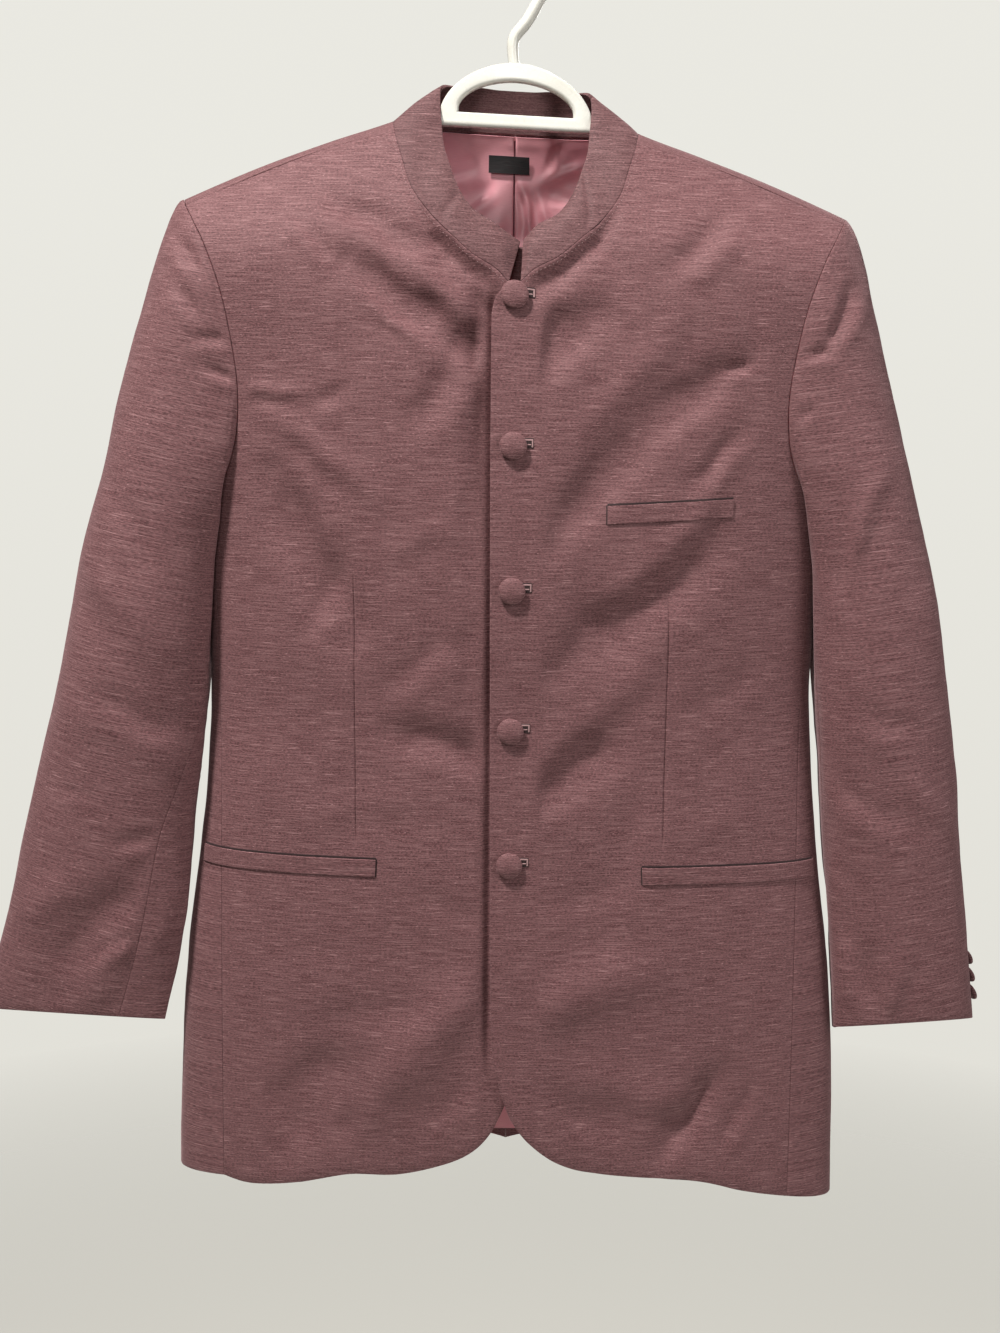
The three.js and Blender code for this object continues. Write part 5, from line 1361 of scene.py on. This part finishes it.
def back_lining(materials, seam_materials):
    v = (1 - (1 - even(LINING_ROWS)) ** ROUND_SPACING)[:, None]
    u = np.linspace(-1, 1, LINING_COLUMNS + 1)[None, :]
    u = np.sign(u) * np.abs(u) ** ROUND_SPACING
    x = u * lining_half_width(LINING_HEM_Z + (LINING_NECK_Z - LINING_HEM_Z) * v)
    size = np.abs(x)
    bottom = drop_at(size, LINING_HEM_Z, 1)
    top = np.maximum(drop_at(size, LINING_NECK_Z, 1), LINING_RIDGE_DROP)
    drop = bottom + (top - bottom) * v
    points, normals = inside_back(x, drop)
    z = points[..., 2]
    points = points - normals * lining_relief(u, v, x, z)[..., None]
    places, pattern = (points, normals), stacked(x, z)
    inset = BODY_WALL + LINING_GAP
    lining = shell("back_lining_satin", places, pattern, LINING_WALL, "left", inset, THIN_RADIUS, materials)
    return lining, lining_seam_shade(places, pattern, inset, seam_materials)


def neck_label(materials):
    inset = BODY_WALL + LINING_GAP + LINING_WALL + 2 * LAID_GAP
    z = (LABEL["z0"] + (LABEL["z1"] - LABEL["z0"]) * even(LABEL_CELLS[1]))[:, None]
    x = (LABEL["x0"] + (LABEL["x1"] - LABEL["x0"]) * even(LABEL_CELLS[0]))[None, :] + 0 * z
    points, normals = inside_back(x, drop_at(np.abs(x), z, 1))
    wave = LABEL_WAVE["height"] * np.sin(x / LABEL_WAVE["x"]) * np.sin(z / LABEL_WAVE["z"])
    places = points - normals * wave[..., None], normals
    pattern = stacked(x, z)
    return shell("neck_label_tape", places, pattern, LABEL_WALL, "left", inset, THIN_RADIUS, materials)


# Buttons


def covered_button(name, size, point, normal, materials):
    """A domed button with cloth drawn over it: fine pleats at the rim and a flat back."""
    rings, sectors = BUTTON_CELLS
    radius, height = size["radius"], size["height"]
    s = even(rings)[:, None]
    angle = (2 * math.pi * even(sectors)[:-1])[None, :]
    bend = np.minimum(s * BUTTON_BEND * math.pi, math.pi / 2)
    curl = smooth(BUTTON_CURL["start"], BUTTON_BEND, s * BUTTON_BEND)
    down = BUTTON_CURL["down"]
    reach = radius * np.sin(bend) - radius * BUTTON_CURL["inwards"] * curl
    level = height * (down + (1 - down) * np.cos(bend)) - height * down * curl
    pleats = BUTTON_PLEATS["height"] * smooth(BUTTON_PLEATS["start"], 1, s)
    pleats = 1 + pleats * np.sin(BUTTON_PLEATS["count"] * angle)
    x, y, z = reach * pleats * np.cos(angle), reach * pleats * np.sin(angle), level + 0 * angle
    dome = stacked(x, y, z)[1:].reshape(-1, 3)
    points = np.concatenate([[(0, 0, height)], dome, [(0, 0, 0)]])
    number = 1 + np.arange(rings * sectors).reshape(rings, sectors)
    after = np.roll(number, -1, axis=1)
    sides = np.stack([number[:-1], number[1:], after[1:], after[:-1]], axis=-1).reshape(-1, 4)
    tip = np.zeros(sectors, int)
    base = np.full(sectors, len(points) - 1)
    caps = [np.stack([tip, number[0], after[0]], axis=-1), np.stack([base, after[-1], number[-1]], axis=-1)]
    return button_object(name, points, sides, np.concatenate(caps), point, normal, materials)


def button_object(name, points, sides, caps, point, normal, materials):
    turned = Matrix(np.array(axes_facing(normal)).T.tolist())
    placed = points @ np.array(turned.to_3x3()).T + point
    mesh = bpy.data.meshes.new(name)
    faces = [tuple(face) for face in sides] + [tuple(face) for face in caps]
    mesh.from_pydata((leaning(placed) * MM).tolist(), [], faces)
    layer = mesh.uv_layers.new(name="pattern")
    corners = np.zeros(len(mesh.loops), np.int32)
    mesh.loops.foreach_get("vertex_index", corners)
    layer.data.foreach_set("uv", (points[corners, :2] * MM * BUTTON_CLOTH_SCALE).astype(np.float32).ravel())
    for material in materials:
        mesh.materials.append(material)
    mesh.polygons.foreach_set("use_smooth", np.ones(len(mesh.polygons), bool))
    work = bmesh.new()
    work.from_mesh(mesh)
    bmesh.ops.recalc_face_normals(work, faces=work.faces)
    work.to_mesh(mesh)
    work.free()
    piece = bpy.data.objects.new(name, mesh)
    bpy.context.scene.collection.objects.link(piece)
    return piece


def axes_facing(normal):
    """Three axes with the last one along the normal and the second one as near to upright as it can be."""
    normal = unit(np.asarray(normal, float))
    across = unit(np.cross((0, 0, 1), normal))
    return across, np.cross(normal, across), normal


def front_buttons(materials):
    pieces = []
    for i, z in enumerate(BUTTON_HEIGHTS):
        point, normal = front_place("left", np.array(0.0), np.array(float(z)))
        point = point + normal * LAID_GAP
        piece = covered_button(f"button_front_{i + 1}", BUTTON, point, normal, materials)
        pieces.append((piece, f"front_button_{i + 1}"))
    return pieces


def cuff_buttons(side, seam_points, seam_normals, materials):
    mirror = np.array((1, 1, 1) if side == "left" else (-1, 1, 1))
    pieces = []
    for i, z in enumerate(CUFF_BUTTON_ROWS[side]):
        low = max(int(np.argmax(seam_points[:, 2] < z)) - 1, 0)
        a, b = seam_points[low], seam_points[low + 1]
        share = (z - a[2]) / (b[2] - a[2])
        down = unit(b - a)
        flat = unit(seam_normals[low] + (seam_normals[low + 1] - seam_normals[low]) * share)
        normal = unit(flat - down * CUFF_BUTTON_TILT)
        point = a + (b - a) * share + flat * (CUFF_BUTTON_SEAT + LAID_GAP)
        name = f"button_cuff_{side}_{i + 1}"
        piece = covered_button(name, CUFF_BUTTON, point * mirror, normal * mirror, materials)
        pieces.append((piece, f"cuff_button_{side}_{i + 1}"))
    return pieces


# Hanger


def arch(sizes, count):
    angle = math.pi * even(count)
    across = np.sign(np.cos(angle)) * np.abs(np.cos(angle)) ** (2 / sizes["power"])
    up = np.abs(np.sin(angle)) ** (2 / sizes["power"])
    return stacked(sizes["half_width"] * across, sizes["foot"] + (sizes["top"] - sizes["foot"]) * up)


def hanger_outline():
    xs = np.array(ARM_XS, float)
    tops = ridge_z(xs) - ARM_DROP - HANGER_BEVEL
    end = tops[-1]
    top = list(zip(xs, tops))
    foot = ARM_HEIGHT - ARM_TIP["foot"]
    tip = [(xs[-1] + ARM_TIP["reach"], end - ARM_TIP["top"]), (xs[-1], end - foot)]
    under = [(x, z - foot) for x, z in reversed(top[:-1])]
    half = [*HANGER_NECK, *top, *tip, *under, (HANGER_FOOT_X, BAR_BOTTOM_Z + HANGER_BEVEL)]
    mirrored = [(-x, z) for x, z in reversed(half)]
    outer = arch(ARCH_OUTER, ARCH_CELLS) - (0, HANGER_BEVEL)
    inner = arch(ARCH_INNER, ARCH_CELLS)
    inner = inner + stacked(0, np.where(inner[:, 1] > BAR_TOP_Z + 1, HANGER_BEVEL, -HANGER_BEVEL))
    return [half + mirrored + [tuple(p) for p in outer[::-1]], [tuple(p) for p in inner]]


def hanger_plate():
    """The flat moulding, as a filled outline with rounded edges, stood up in the plane of the shoulders."""
    curve = bpy.data.curves.new("hanger_outline", "CURVE")
    curve.dimensions = "2D"
    curve.fill_mode = "BOTH"
    curve.extrude = HANGER_DEPTH / 2 - HANGER_BEVEL
    curve.bevel_depth = HANGER_BEVEL
    curve.bevel_resolution = 4
    for outline in hanger_outline():
        line = curve.splines.new("POLY")
        line.points.add(len(outline) - 1)
        line.points.foreach_set("co", np.array([(x, z, 0, 1) for x, z in outline], np.float32).ravel())
        line.use_cyclic_u = True
    return turned_mesh(curve, "hanger_plate", upright=True)


def hanger_hook():
    arc = np.radians(np.linspace(*HOOK_ANGLES, HOOK_POINTS))
    points = STEM + list(zip(HOOK_RADIUS * np.cos(arc), HOOK_CENTRE_Z + HOOK_RADIUS * np.sin(arc)))
    share = even(HOOK_CELLS)
    path = spaced(points, share)
    curve = bpy.data.curves.new("hanger_hook", "CURVE")
    curve.dimensions = "3D"
    curve.bevel_depth = HOOK_ROD
    curve.bevel_resolution = 6
    curve.use_fill_caps = True
    line = curve.splines.new("POLY")
    line.points.add(len(path) - 1)
    line.points.foreach_set("co", np.array([(x, 0, z, 1) for x, z in path], np.float32).ravel())
    flare = 1 - HOOK_FLARE["share"] * (1 - smooth(*HOOK_FLARE["fade"], share))
    tip = np.sqrt(np.clip(1 - smooth(*HOOK_TIP["fade"], share) ** 2, HOOK_TIP["least"], 1))
    line.points.foreach_set("radius", (flare * tip).astype(np.float32))
    return turned_mesh(curve, "hanger_hook", upright=False)


def turned_mesh(curve, name, upright):
    """A curve as a mesh in metres; an upright one is turned from the X-Y plane into the X-Z plane."""
    holder = bpy.data.objects.new(name, curve)
    bpy.context.scene.collection.objects.link(holder)
    mesh = bpy.data.meshes.new_from_object(holder.evaluated_get(bpy.context.evaluated_depsgraph_get()))
    bpy.data.objects.remove(holder)
    points = np.zeros(len(mesh.vertices) * 3, np.float32)
    mesh.vertices.foreach_get("co", points)
    points = points.reshape(-1, 3).astype(float)
    if upright:
        points = stacked(points[:, 0], -points[:, 2], points[:, 1])
    mesh.vertices.foreach_set("co", (leaning(points) * MM).astype(np.float32).ravel())
    return mesh


def hanger(material):
    work = bmesh.new()
    for mesh in (hanger_plate(), hanger_hook()):
        work.from_mesh(mesh)
    bmesh.ops.remove_doubles(work, verts=work.verts, dist=MERGE_DISTANCE * MM)
    bmesh.ops.recalc_face_normals(work, faces=work.faces)
    mesh = bpy.data.meshes.new("hanger_moulding")
    work.to_mesh(mesh)
    work.free()
    mesh.materials.append(material)
    mesh.polygons.foreach_set("material_index", np.zeros(len(mesh.polygons), np.int32))
    mesh.polygons.foreach_set("use_smooth", np.ones(len(mesh.polygons), bool))
    mesh.set_sharp_from_angle(angle=HANGER_SHARP_ANGLE)
    piece = bpy.data.objects.new("hanger_moulding", mesh)
    bpy.context.scene.collection.objects.link(piece)
    return piece


# Sewing, laid out with Geometry Nodes


def stitch_tree(material):
    """Stitches along a line of edges, with inputs for their spacing, length and thickness."""
    tree = bpy.data.node_groups.new("sewn_line", "GeometryNodeTree")
    face = tree.interface
    face.new_socket("Line", in_out="INPUT", socket_type="NodeSocketGeometry")
    for name, value in STITCH.items():
        face.new_socket(name, in_out="INPUT", socket_type="NodeSocketFloat").default_value = value * MM
    face.new_socket("Seed", in_out="INPUT", socket_type="NodeSocketInt").default_value = STITCH_SEED
    face.new_socket("Stitches", in_out="OUTPUT", socket_type="NodeSocketGeometry")
    add, link = tree.nodes.new, tree.links.new
    start, end = add("NodeGroupInput"), add("NodeGroupOutput")
    curve = add("GeometryNodeMeshToCurve")
    evened = add("GeometryNodeResampleCurve")
    evened.mode = "LENGTH"
    tangent = add("GeometryNodeInputTangent")
    aligned = add("FunctionNodeAlignRotationToVector")
    aligned.axis = "X"
    bead = add("GeometryNodeMeshUVSphere")
    bead.inputs["Segments"].default_value, bead.inputs["Rings"].default_value = STITCH_CELLS
    bead.inputs["Radius"].default_value = 0.5
    size = add("ShaderNodeCombineXYZ")
    uneven = add("FunctionNodeRandomValue")
    uneven.inputs[2].default_value, uneven.inputs[3].default_value = STITCH_SIZES
    scaled = add("ShaderNodeVectorMath")
    scaled.operation = "SCALE"
    placed = add("GeometryNodeInstanceOnPoints")
    real = add("GeometryNodeRealizeInstances")
    finished = add("GeometryNodeSetMaterial")
    finished.inputs["Material"].default_value = material
    link(start.outputs["Line"], curve.inputs["Mesh"])
    link(curve.outputs["Curve"], evened.inputs["Curve"])
    link(start.outputs["Spacing"], evened.inputs["Length"])
    link(tangent.outputs[0], aligned.inputs["Vector"])
    link(start.outputs["Length"], size.inputs[0])
    link(start.outputs["Thickness"], size.inputs[1])
    link(start.outputs["Thickness"], size.inputs[2])
    link(start.outputs["Seed"], uneven.inputs["Seed"])
    link(size.outputs[0], scaled.inputs[0])
    link(uneven.outputs[1], scaled.inputs["Scale"])
    link(evened.outputs["Curve"], placed.inputs["Points"])
    link(bead.outputs["Mesh"], placed.inputs["Instance"])
    link(aligned.outputs["Rotation"], placed.inputs["Rotation"])
    link(scaled.outputs[0], placed.inputs["Scale"])
    link(placed.outputs["Instances"], real.inputs["Geometry"])
    link(real.outputs["Geometry"], finished.inputs["Geometry"])
    link(finished.outputs["Geometry"], end.inputs["Stitches"])
    return tree


def sewn(name, tree, lines):
    """One piece with stitches along each line of points, given in millimetres."""
    holder_mesh = bpy.data.meshes.new(name)
    points, edges = [], []
    for line in lines:
        first = len(points)
        points.extend((leaning(np.asarray(line)) * MM).tolist())
        edges.extend((i, i + 1) for i in range(first, len(points) - 1))
    holder_mesh.from_pydata(points, edges, [])
    holder = bpy.data.objects.new(name + "_line", holder_mesh)
    bpy.context.scene.collection.objects.link(holder)
    layout = holder.modifiers.new("sewn", "NODES")
    layout.node_group = tree
    values = {part: size * MM for part, size in STITCH.items()} | {"Seed": STITCH_SEED}
    for item in tree.interface.items_tree:
        if item.name in values:
            layout[item.identifier] = values[item.name]
    evaluated = holder.evaluated_get(bpy.context.evaluated_depsgraph_get())
    mesh = bpy.data.meshes.new_from_object(evaluated)
    bpy.data.objects.remove(holder)
    mesh.name = name
    mesh.polygons.foreach_set("use_smooth", np.ones(len(mesh.polygons), bool))
    piece = bpy.data.objects.new(name, mesh)
    bpy.context.scene.collection.objects.link(piece)
    return piece


def on_front(side, x, z, height):
    points, normals = front_place(side, np.asarray(x, float), np.asarray(z, float))
    points = points + normals * height
    return points * ((1, 1, 1) if side == "left" else (-1, 1, 1))


def neck_line(side, below, height):
    row = np.linspace(*STITCH_ROWS)
    x, z = at_row(NECK["x"], row), at_row(NECK["z"], row)
    away = unit(stacked(np.gradient(z), -np.gradient(x)))
    return on_front(side, x + away[:, 0] * below, z + away[:, 1] * below, height)


def buttonhole(name, button_z, cloth, dark):
    """A bound buttonhole beside a button: a slit of painted shade in near-black cloth, with a lip along its
    top, middle and end.
    """
    pieces = []
    columns, rows = BUTTONHOLE_CELLS
    for part, (x0, x1, low, high) in BUTTONHOLE.items():
        kind, material = ("slit", dark) if part == "slit" else ("lip", cloth)
        x = np.linspace(x0, x1, columns + 1)[None, :]
        up = np.linspace(low, high, rows + 1)[:, None]
        places = front_place("left", x + 0 * up, button_z + up + 0 * x)
        places = laid(places, BUTTONHOLE_HEIGHT[kind], BUTTONHOLE_HEIGHT[kind])
        pieces.append(shell(f"{name}_{part}", places, stacked(x, button_z + up), BUTTONHOLE_WALL, "left",
                            -BUTTONHOLE_WALL, BUTTONHOLE_RADIUS[kind], [material]))
    return pieces


# Finishes


def put(tree, kind, inputs=None, **settings):
    """Adds one node, sets its properties and fills its inputs with values or links."""
    made = tree.nodes.new(kind)
    for name, value in settings.items():
        setattr(made, name, value)
    for name, value in (inputs or {}).items():
        if isinstance(value, bpy.types.NodeSocket):
            tree.links.new(value, made.inputs[name])
        else:
            made.inputs[name].default_value = value
    return made


def finish(name, color, roughness, **sockets):
    """A new material with its main shader, whose constant sockets are set on the shader itself."""
    material = bpy.data.materials.new(name)
    material.use_nodes = True
    tree = material.node_tree
    shader = tree.nodes["Principled BSDF"]
    shader.inputs["Base Color"].default_value = (*color, 1)
    shader.inputs["Roughness"].default_value = roughness
    for socket, value in sockets.items():
        shader.inputs[socket.replace("_", " ")].default_value = value
    return material, tree, shader


def pattern_mm(tree, scale_x, scale_y, shift=0.0):
    """The piece's own pattern coordinates, with the size of one cell in millimetres each way."""
    uv = put(tree, "ShaderNodeUVMap", uv_map="pattern")
    mapping = put(tree, "ShaderNodeMapping", {"Vector": uv.outputs[0]})
    mapping.inputs["Location"].default_value = (shift, shift * PATTERN_SHIFT_UP, 0)
    mapping.inputs["Scale"].default_value = (1000 / scale_x, 1000 / scale_y, 1)
    return mapping.outputs[0]


def noise(tree, vector, detail, roughness):
    inputs = {"Vector": vector, "Scale": 1.0, "Detail": detail, "Roughness": roughness}
    return put(tree, "ShaderNodeTexNoise", inputs).outputs["Fac"]


def solid_noise(tree, scale, detail):
    """Noise through the piece's own space, with the number of cells in a metre."""
    place = put(tree, "ShaderNodeTexCoord").outputs["Object"]
    inputs = {"Vector": place, "Scale": scale, "Detail": detail}
    return put(tree, "ShaderNodeTexNoise", inputs).outputs["Fac"]


def ramp(tree, value, low, high):
    inputs = {"Value": value, "From Min": low, "From Max": high}
    return put(tree, "ShaderNodeMapRange", inputs).outputs["Result"]


def mixed(tree, factor, a, b):
    made = put(tree, "ShaderNodeMix", data_type="RGBA")
    for socket, value in ((made.inputs[0], factor), (made.inputs[6], a), (made.inputs[7], b)):
        if isinstance(value, bpy.types.NodeSocket):
            tree.links.new(value, socket)
        else:
            socket.default_value = value if isinstance(value, float) else (*value, 1)
    return made.outputs[2]


def maths(tree, operation, a, b):
    return put(tree, "ShaderNodeMath", {0: a, 1: b}, operation=operation).outputs[0]


def bumped(tree, shader, height, strength, distance):
    bump = put(tree, "ShaderNodeBump", {"Height": height, "Strength": strength, "Distance": distance})
    tree.links.new(bump.outputs[0], shader.inputs["Normal"])


def yarn(tree, name):
    across, up, shift, detail, roughness, low, high = YARNS[name]
    return ramp(tree, noise(tree, pattern_mm(tree, across, up, shift), detail, roughness), low, high)


def sharkskin_cloth(name):
    """Two-tone worsted: a fine grain of two yarns with short light slubs along the weft."""
    dark, light, slub = CLOTH_COLORS[name]
    material, tree, shader = finish(
        name, light, 0.72, Sheen_Weight=0.28, Sheen_Roughness=0.45, Sheen_Tint=(0.8, 0.56, 0.58, 1),
        Specular_IOR_Level=0.28)
    grain, weft, slubs, specks, tone = (yarn(tree, part) for part in YARNS)
    base = mixed(tree, grain, dark, light)
    toned = mixed(tree, maths(tree, "MULTIPLY", tone, 0.2), base, tuple(c * 0.8 for c in light))
    lined = mixed(tree, maths(tree, "MULTIPLY", weft, 0.34), toned, slub)
    with_slubs = mixed(tree, maths(tree, "MULTIPLY", slubs, 0.7), lined, slub)
    color = mixed(tree, maths(tree, "MULTIPLY", specks, 0.6), with_slubs, slub)
    tree.links.new(color, shader.inputs["Base Color"])
    height = maths(tree, "ADD", grain, maths(tree, "ADD", slubs, weft))
    bumped(tree, shader, height, 0.35, 0.00022)
    return material


def satin(name):
    color, light = SATIN_COLORS[name]
    material, tree, shader = finish(
        name, color, 0.36, Sheen_Weight=0.25, Sheen_Roughness=0.3, Sheen_Tint=(0.9, 0.6, 0.62, 1),
        Specular_IOR_Level=0.55)
    threads = noise(tree, pattern_mm(tree, 6, 0.35), 2.0, 0.6)
    tone = noise(tree, pattern_mm(tree, 26, 34, 2.2), 2.0, 0.5)
    tinted = mixed(tree, ramp(tree, tone, 0.35, 0.7), color, light)
    woven = mixed(tree, ramp(tree, threads, 0.2, 0.8), tuple(c * 0.9 for c in color), tinted)
    tree.links.new(woven, shader.inputs["Base Color"])
    bumped(tree, shader, threads, 0.2, 0.00012)
    return material


def label_tape(name):
    material, tree, shader = finish(
        name, (0.016, 0.015, 0.016), 0.7, Sheen_Weight=0.2, Specular_IOR_Level=0.3)
    ribs = noise(tree, pattern_mm(tree, 9, 0.4), 1.0, 0.4)
    color = mixed(tree, ramp(tree, ribs, 0.3, 0.75), (0.011, 0.010, 0.011), (0.034, 0.032, 0.033))
    tree.links.new(color, shader.inputs["Base Color"])
    bumped(tree, shader, ribs, 0.5, 0.0002)
    return material


def moulded_plastic(name):
    material, tree, shader = finish(
        name, (0.7, 0.695, 0.64), 0.26, Coat_Weight=0.25, Coat_Roughness=0.15, Specular_IOR_Level=0.5)
    scuffs, spread = solid_noise(tree, 220.0, 3.0), solid_noise(tree, 26.0, 2.0)
    limits = {"Value": scuffs, "From Min": 0.3, "From Max": 0.75, "To Min": 0.22, "To Max": 0.34}
    roughness = put(tree, "ShaderNodeMapRange", limits)
    tree.links.new(roughness.outputs["Result"], shader.inputs["Roughness"])
    color = mixed(tree, ramp(tree, spread, 0.35, 0.7), (0.72, 0.715, 0.66), (0.66, 0.65, 0.58))
    tree.links.new(color, shader.inputs["Base Color"])
    bumped(tree, shader, spread, 0.12, 0.0006)
    return material


def sewing_thread(name, color):
    material, tree, shader = finish(name, color, 0.6, Sheen_Weight=0.3, Specular_IOR_Level=0.3)
    twist = solid_noise(tree, 3000.0, 1.0)
    tree.links.new(mixed(tree, twist, tuple(c * 0.7 for c in color), color), shader.inputs["Base Color"])
    return material


# Scene


def area_light(name, place, aim, size, watts, color):
    light = bpy.data.lights.new(name, "AREA")
    light.shape = "DISK"
    light.size = size
    light.energy = watts
    light.color = color
    holder = bpy.data.objects.new(name, light)
    bpy.context.scene.collection.objects.link(holder)
    facing = unit(np.array(place, float) - np.array(aim, float))
    across, up, back = axes_facing(facing)
    turned = Matrix(np.array([across, up, back]).T.tolist()).to_4x4()
    holder.matrix_world = Matrix.Translation(place) @ turned


def studio():
    """A pale room that lights the garment softly from all round, with the main light high on one side."""
    world = bpy.data.worlds.new("pale_room")
    world.use_nodes = True
    tree = world.node_tree
    heading = put(tree, "ShaderNodeTexCoord").outputs["Generated"]
    upward = put(tree, "ShaderNodeSeparateXYZ", {0: heading}).outputs["Z"]
    seen_color = mixed(tree, ramp(tree, upward, -0.6, 0.15), ROOM_LOW, ROOM_HIGH)
    seen = put(tree, "ShaderNodeBackground", {"Color": seen_color, "Strength": 1.0})
    fill_color = mixed(tree, ramp(tree, upward, -0.8, 0.8), FILL_LOW, FILL_HIGH)
    fill = put(tree, "ShaderNodeBackground", {"Color": fill_color, "Strength": 1.0})
    to_camera = put(tree, "ShaderNodeLightPath").outputs["Is Camera Ray"]
    either = put(tree, "ShaderNodeMixShader", {0: to_camera, 1: fill.outputs[0], 2: seen.outputs[0]})
    tree.links.new(either.outputs[0], tree.nodes["World Output"].inputs["Surface"])
    scene = bpy.context.scene
    scene.world = world
    scene.view_settings.view_transform = "Standard"
    for name, (place, aim, size, watts, color) in LIGHTS.items():
        area_light(name, place, aim, size, watts, color)


def pale_floor():
    work = bmesh.new()
    bmesh.ops.create_circle(work, cap_ends=True, segments=96, radius=FLOOR["radius"])
    mesh = bpy.data.meshes.new("floor")
    work.to_mesh(mesh)
    work.free()
    mesh.transform(Matrix.Translation((0, 0, FLOOR["z"])))
    material, tree, shader = finish("pale_floor", FLOOR["color"], FLOOR["roughness"])
    place = put(tree, "ShaderNodeTexCoord").outputs["Object"]
    reach = put(tree, "ShaderNodeVectorMath", {0: place}, operation="LENGTH").outputs["Value"]
    clear = put(tree, "ShaderNodeBsdfTransparent").outputs[0]
    faded = ramp(tree, reach, *FLOOR["fade"])
    fading = put(tree, "ShaderNodeMixShader", {0: faded, 1: shader.outputs[0], 2: clear})
    tree.links.new(fading.outputs[0], tree.nodes["Material Output"].inputs["Surface"])
    mesh.materials.append(material)
    floor = bpy.data.objects.new("floor", mesh)
    bpy.context.scene.collection.objects.link(floor)
    floor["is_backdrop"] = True


def camera():
    data = bpy.data.cameras.new("camera")
    data.sensor_width = SENSOR_WIDTH
    data.lens = SENSOR_WIDTH * FOCAL_PIXELS / LONG_SIDE_PIXELS
    data.clip_start = 0.05
    holder = bpy.data.objects.new("camera", data)
    bpy.context.scene.collection.objects.link(holder)
    ahead = np.array([0, math.cos(CAMERA_TILT), -math.sin(CAMERA_TILT)])
    right = np.array([1.0, 0, 0])
    up = np.array([0, math.sin(CAMERA_TILT), math.cos(CAMERA_TILT)])
    c, s = math.cos(CAMERA_ROLL), math.sin(CAMERA_ROLL)
    axes = np.array([right * c + up * s, up * c - right * s, -ahead]).T
    holder.matrix_world = Matrix.Translation(CAMERA_PLACE) @ Matrix(axes.tolist()).to_4x4()
    bpy.context.scene.camera = holder


# Assembly


def dress(piece, slot, *nodes):
    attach(piece, "root")
    if nodes:
        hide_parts(*nodes)
    return piece


def sewing(thread, hole):
    tree = stitch_tree(thread)
    lines = [neck_line(side, STITCHES_BELOW, STITCHES_LIFT) for side in ("left", "right")]
    dress(sewn("collar_pick_stitches", tree, lines), "sharkskin")
    for i, z in enumerate(BUTTON_HEIGHTS):
        for piece in buttonhole(f"buttonhole_{i + 1}", z, thread, hole):
            dress(piece, "sharkskin")


def build():
    cloth = sharkskin_cloth("burgundy_sharkskin")
    lining = satin("rose_satin")
    # Dark satin of painted shade along the lining's centre seam
    seam_shade_satin = satin("seam_shade_satin")
    # Near-black cloth of painted shade for pocket mouths, welt ends and buttonhole slits
    shadow_cloth = sharkskin_cloth("painted_shade_cloth")
    # Painted shade: a darker copy of the cloth for the collar's inner faces
    shaded_cloth = sharkskin_cloth("inner_collar_painted_shade")
    # Painted shade: a darker copy of the cloth for the collar band and the neck stay
    collar_cloth = sharkskin_cloth("collar_painted_shade_sharkskin")
    lined = [cloth, lining]
    for side in ("left", "right"):
        dress(front_panel(side, lined), "sharkskin", f"front_{side}")
        dress(side_panel(side, lined), "sharkskin", f"side_{side}")
        dress(back_panel(side, [cloth]), "sharkskin", f"back_{side}")
        pieces, seam_points, seam_normals = sleeve_pieces(side, lined)
        for piece, node in pieces + cuff_buttons(side, seam_points, seam_normals, [cloth]):
            dress(piece, "sharkskin", node)
        grid = lambda low, high, rows, side=side: pocket_grid(side, low, high, rows)
        dress(welt(f"pocket_{side}_welt", grid, side, [cloth]), "sharkskin", f"pocket_welt_{side}")
        dress(pocket_mouth_shade(f"pocket_{side}_mouth", grid, side, [shadow_cloth]), "sharkskin")
        dress(welt_end_shade(f"pocket_{side}_end", grid, side, [shadow_cloth]), "sharkskin")
    dress(welt("breast_pocket_welt", breast_grid, "left", [cloth]), "sharkskin", "breast_welt")
    dress(pocket_mouth_shade("breast_pocket_mouth", breast_grid, "left", [shadow_cloth]), "sharkskin")
    dress(welt_end_shade("breast_pocket_end", breast_grid, "left", [shadow_cloth]), "sharkskin")
    # The collar's outside and its inner faces are both darker copies of the cloth: painted shade
    dress(collar_band([collar_cloth, shaded_cloth]), "sharkskin", "collar")
    dress(neck_tab([collar_cloth]), "sharkskin")
    lining_piece, seam_piece = back_lining([lining], [seam_shade_satin])
    dress(lining_piece, "satin_lining", "back_lining")
    dress(seam_piece, "satin_lining")
    dress(neck_label([label_tape("black_tape")]), "label_cloth", "neck_label")
    for piece, node in front_buttons([cloth]):
        dress(piece, "sharkskin", node)
    dress(hanger(moulded_plastic("white_plastic")), "hanger_plastic", "hanger")
    sewing(sewing_thread("burgundy_thread", THREAD_COLOR), shadow_cloth)


camera()
studio()
pale_floor()
build()

boxes = {"cad": cad_box, "visual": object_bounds()}
{name: [list(corner) for corner in box] for name, box in boxes.items()}
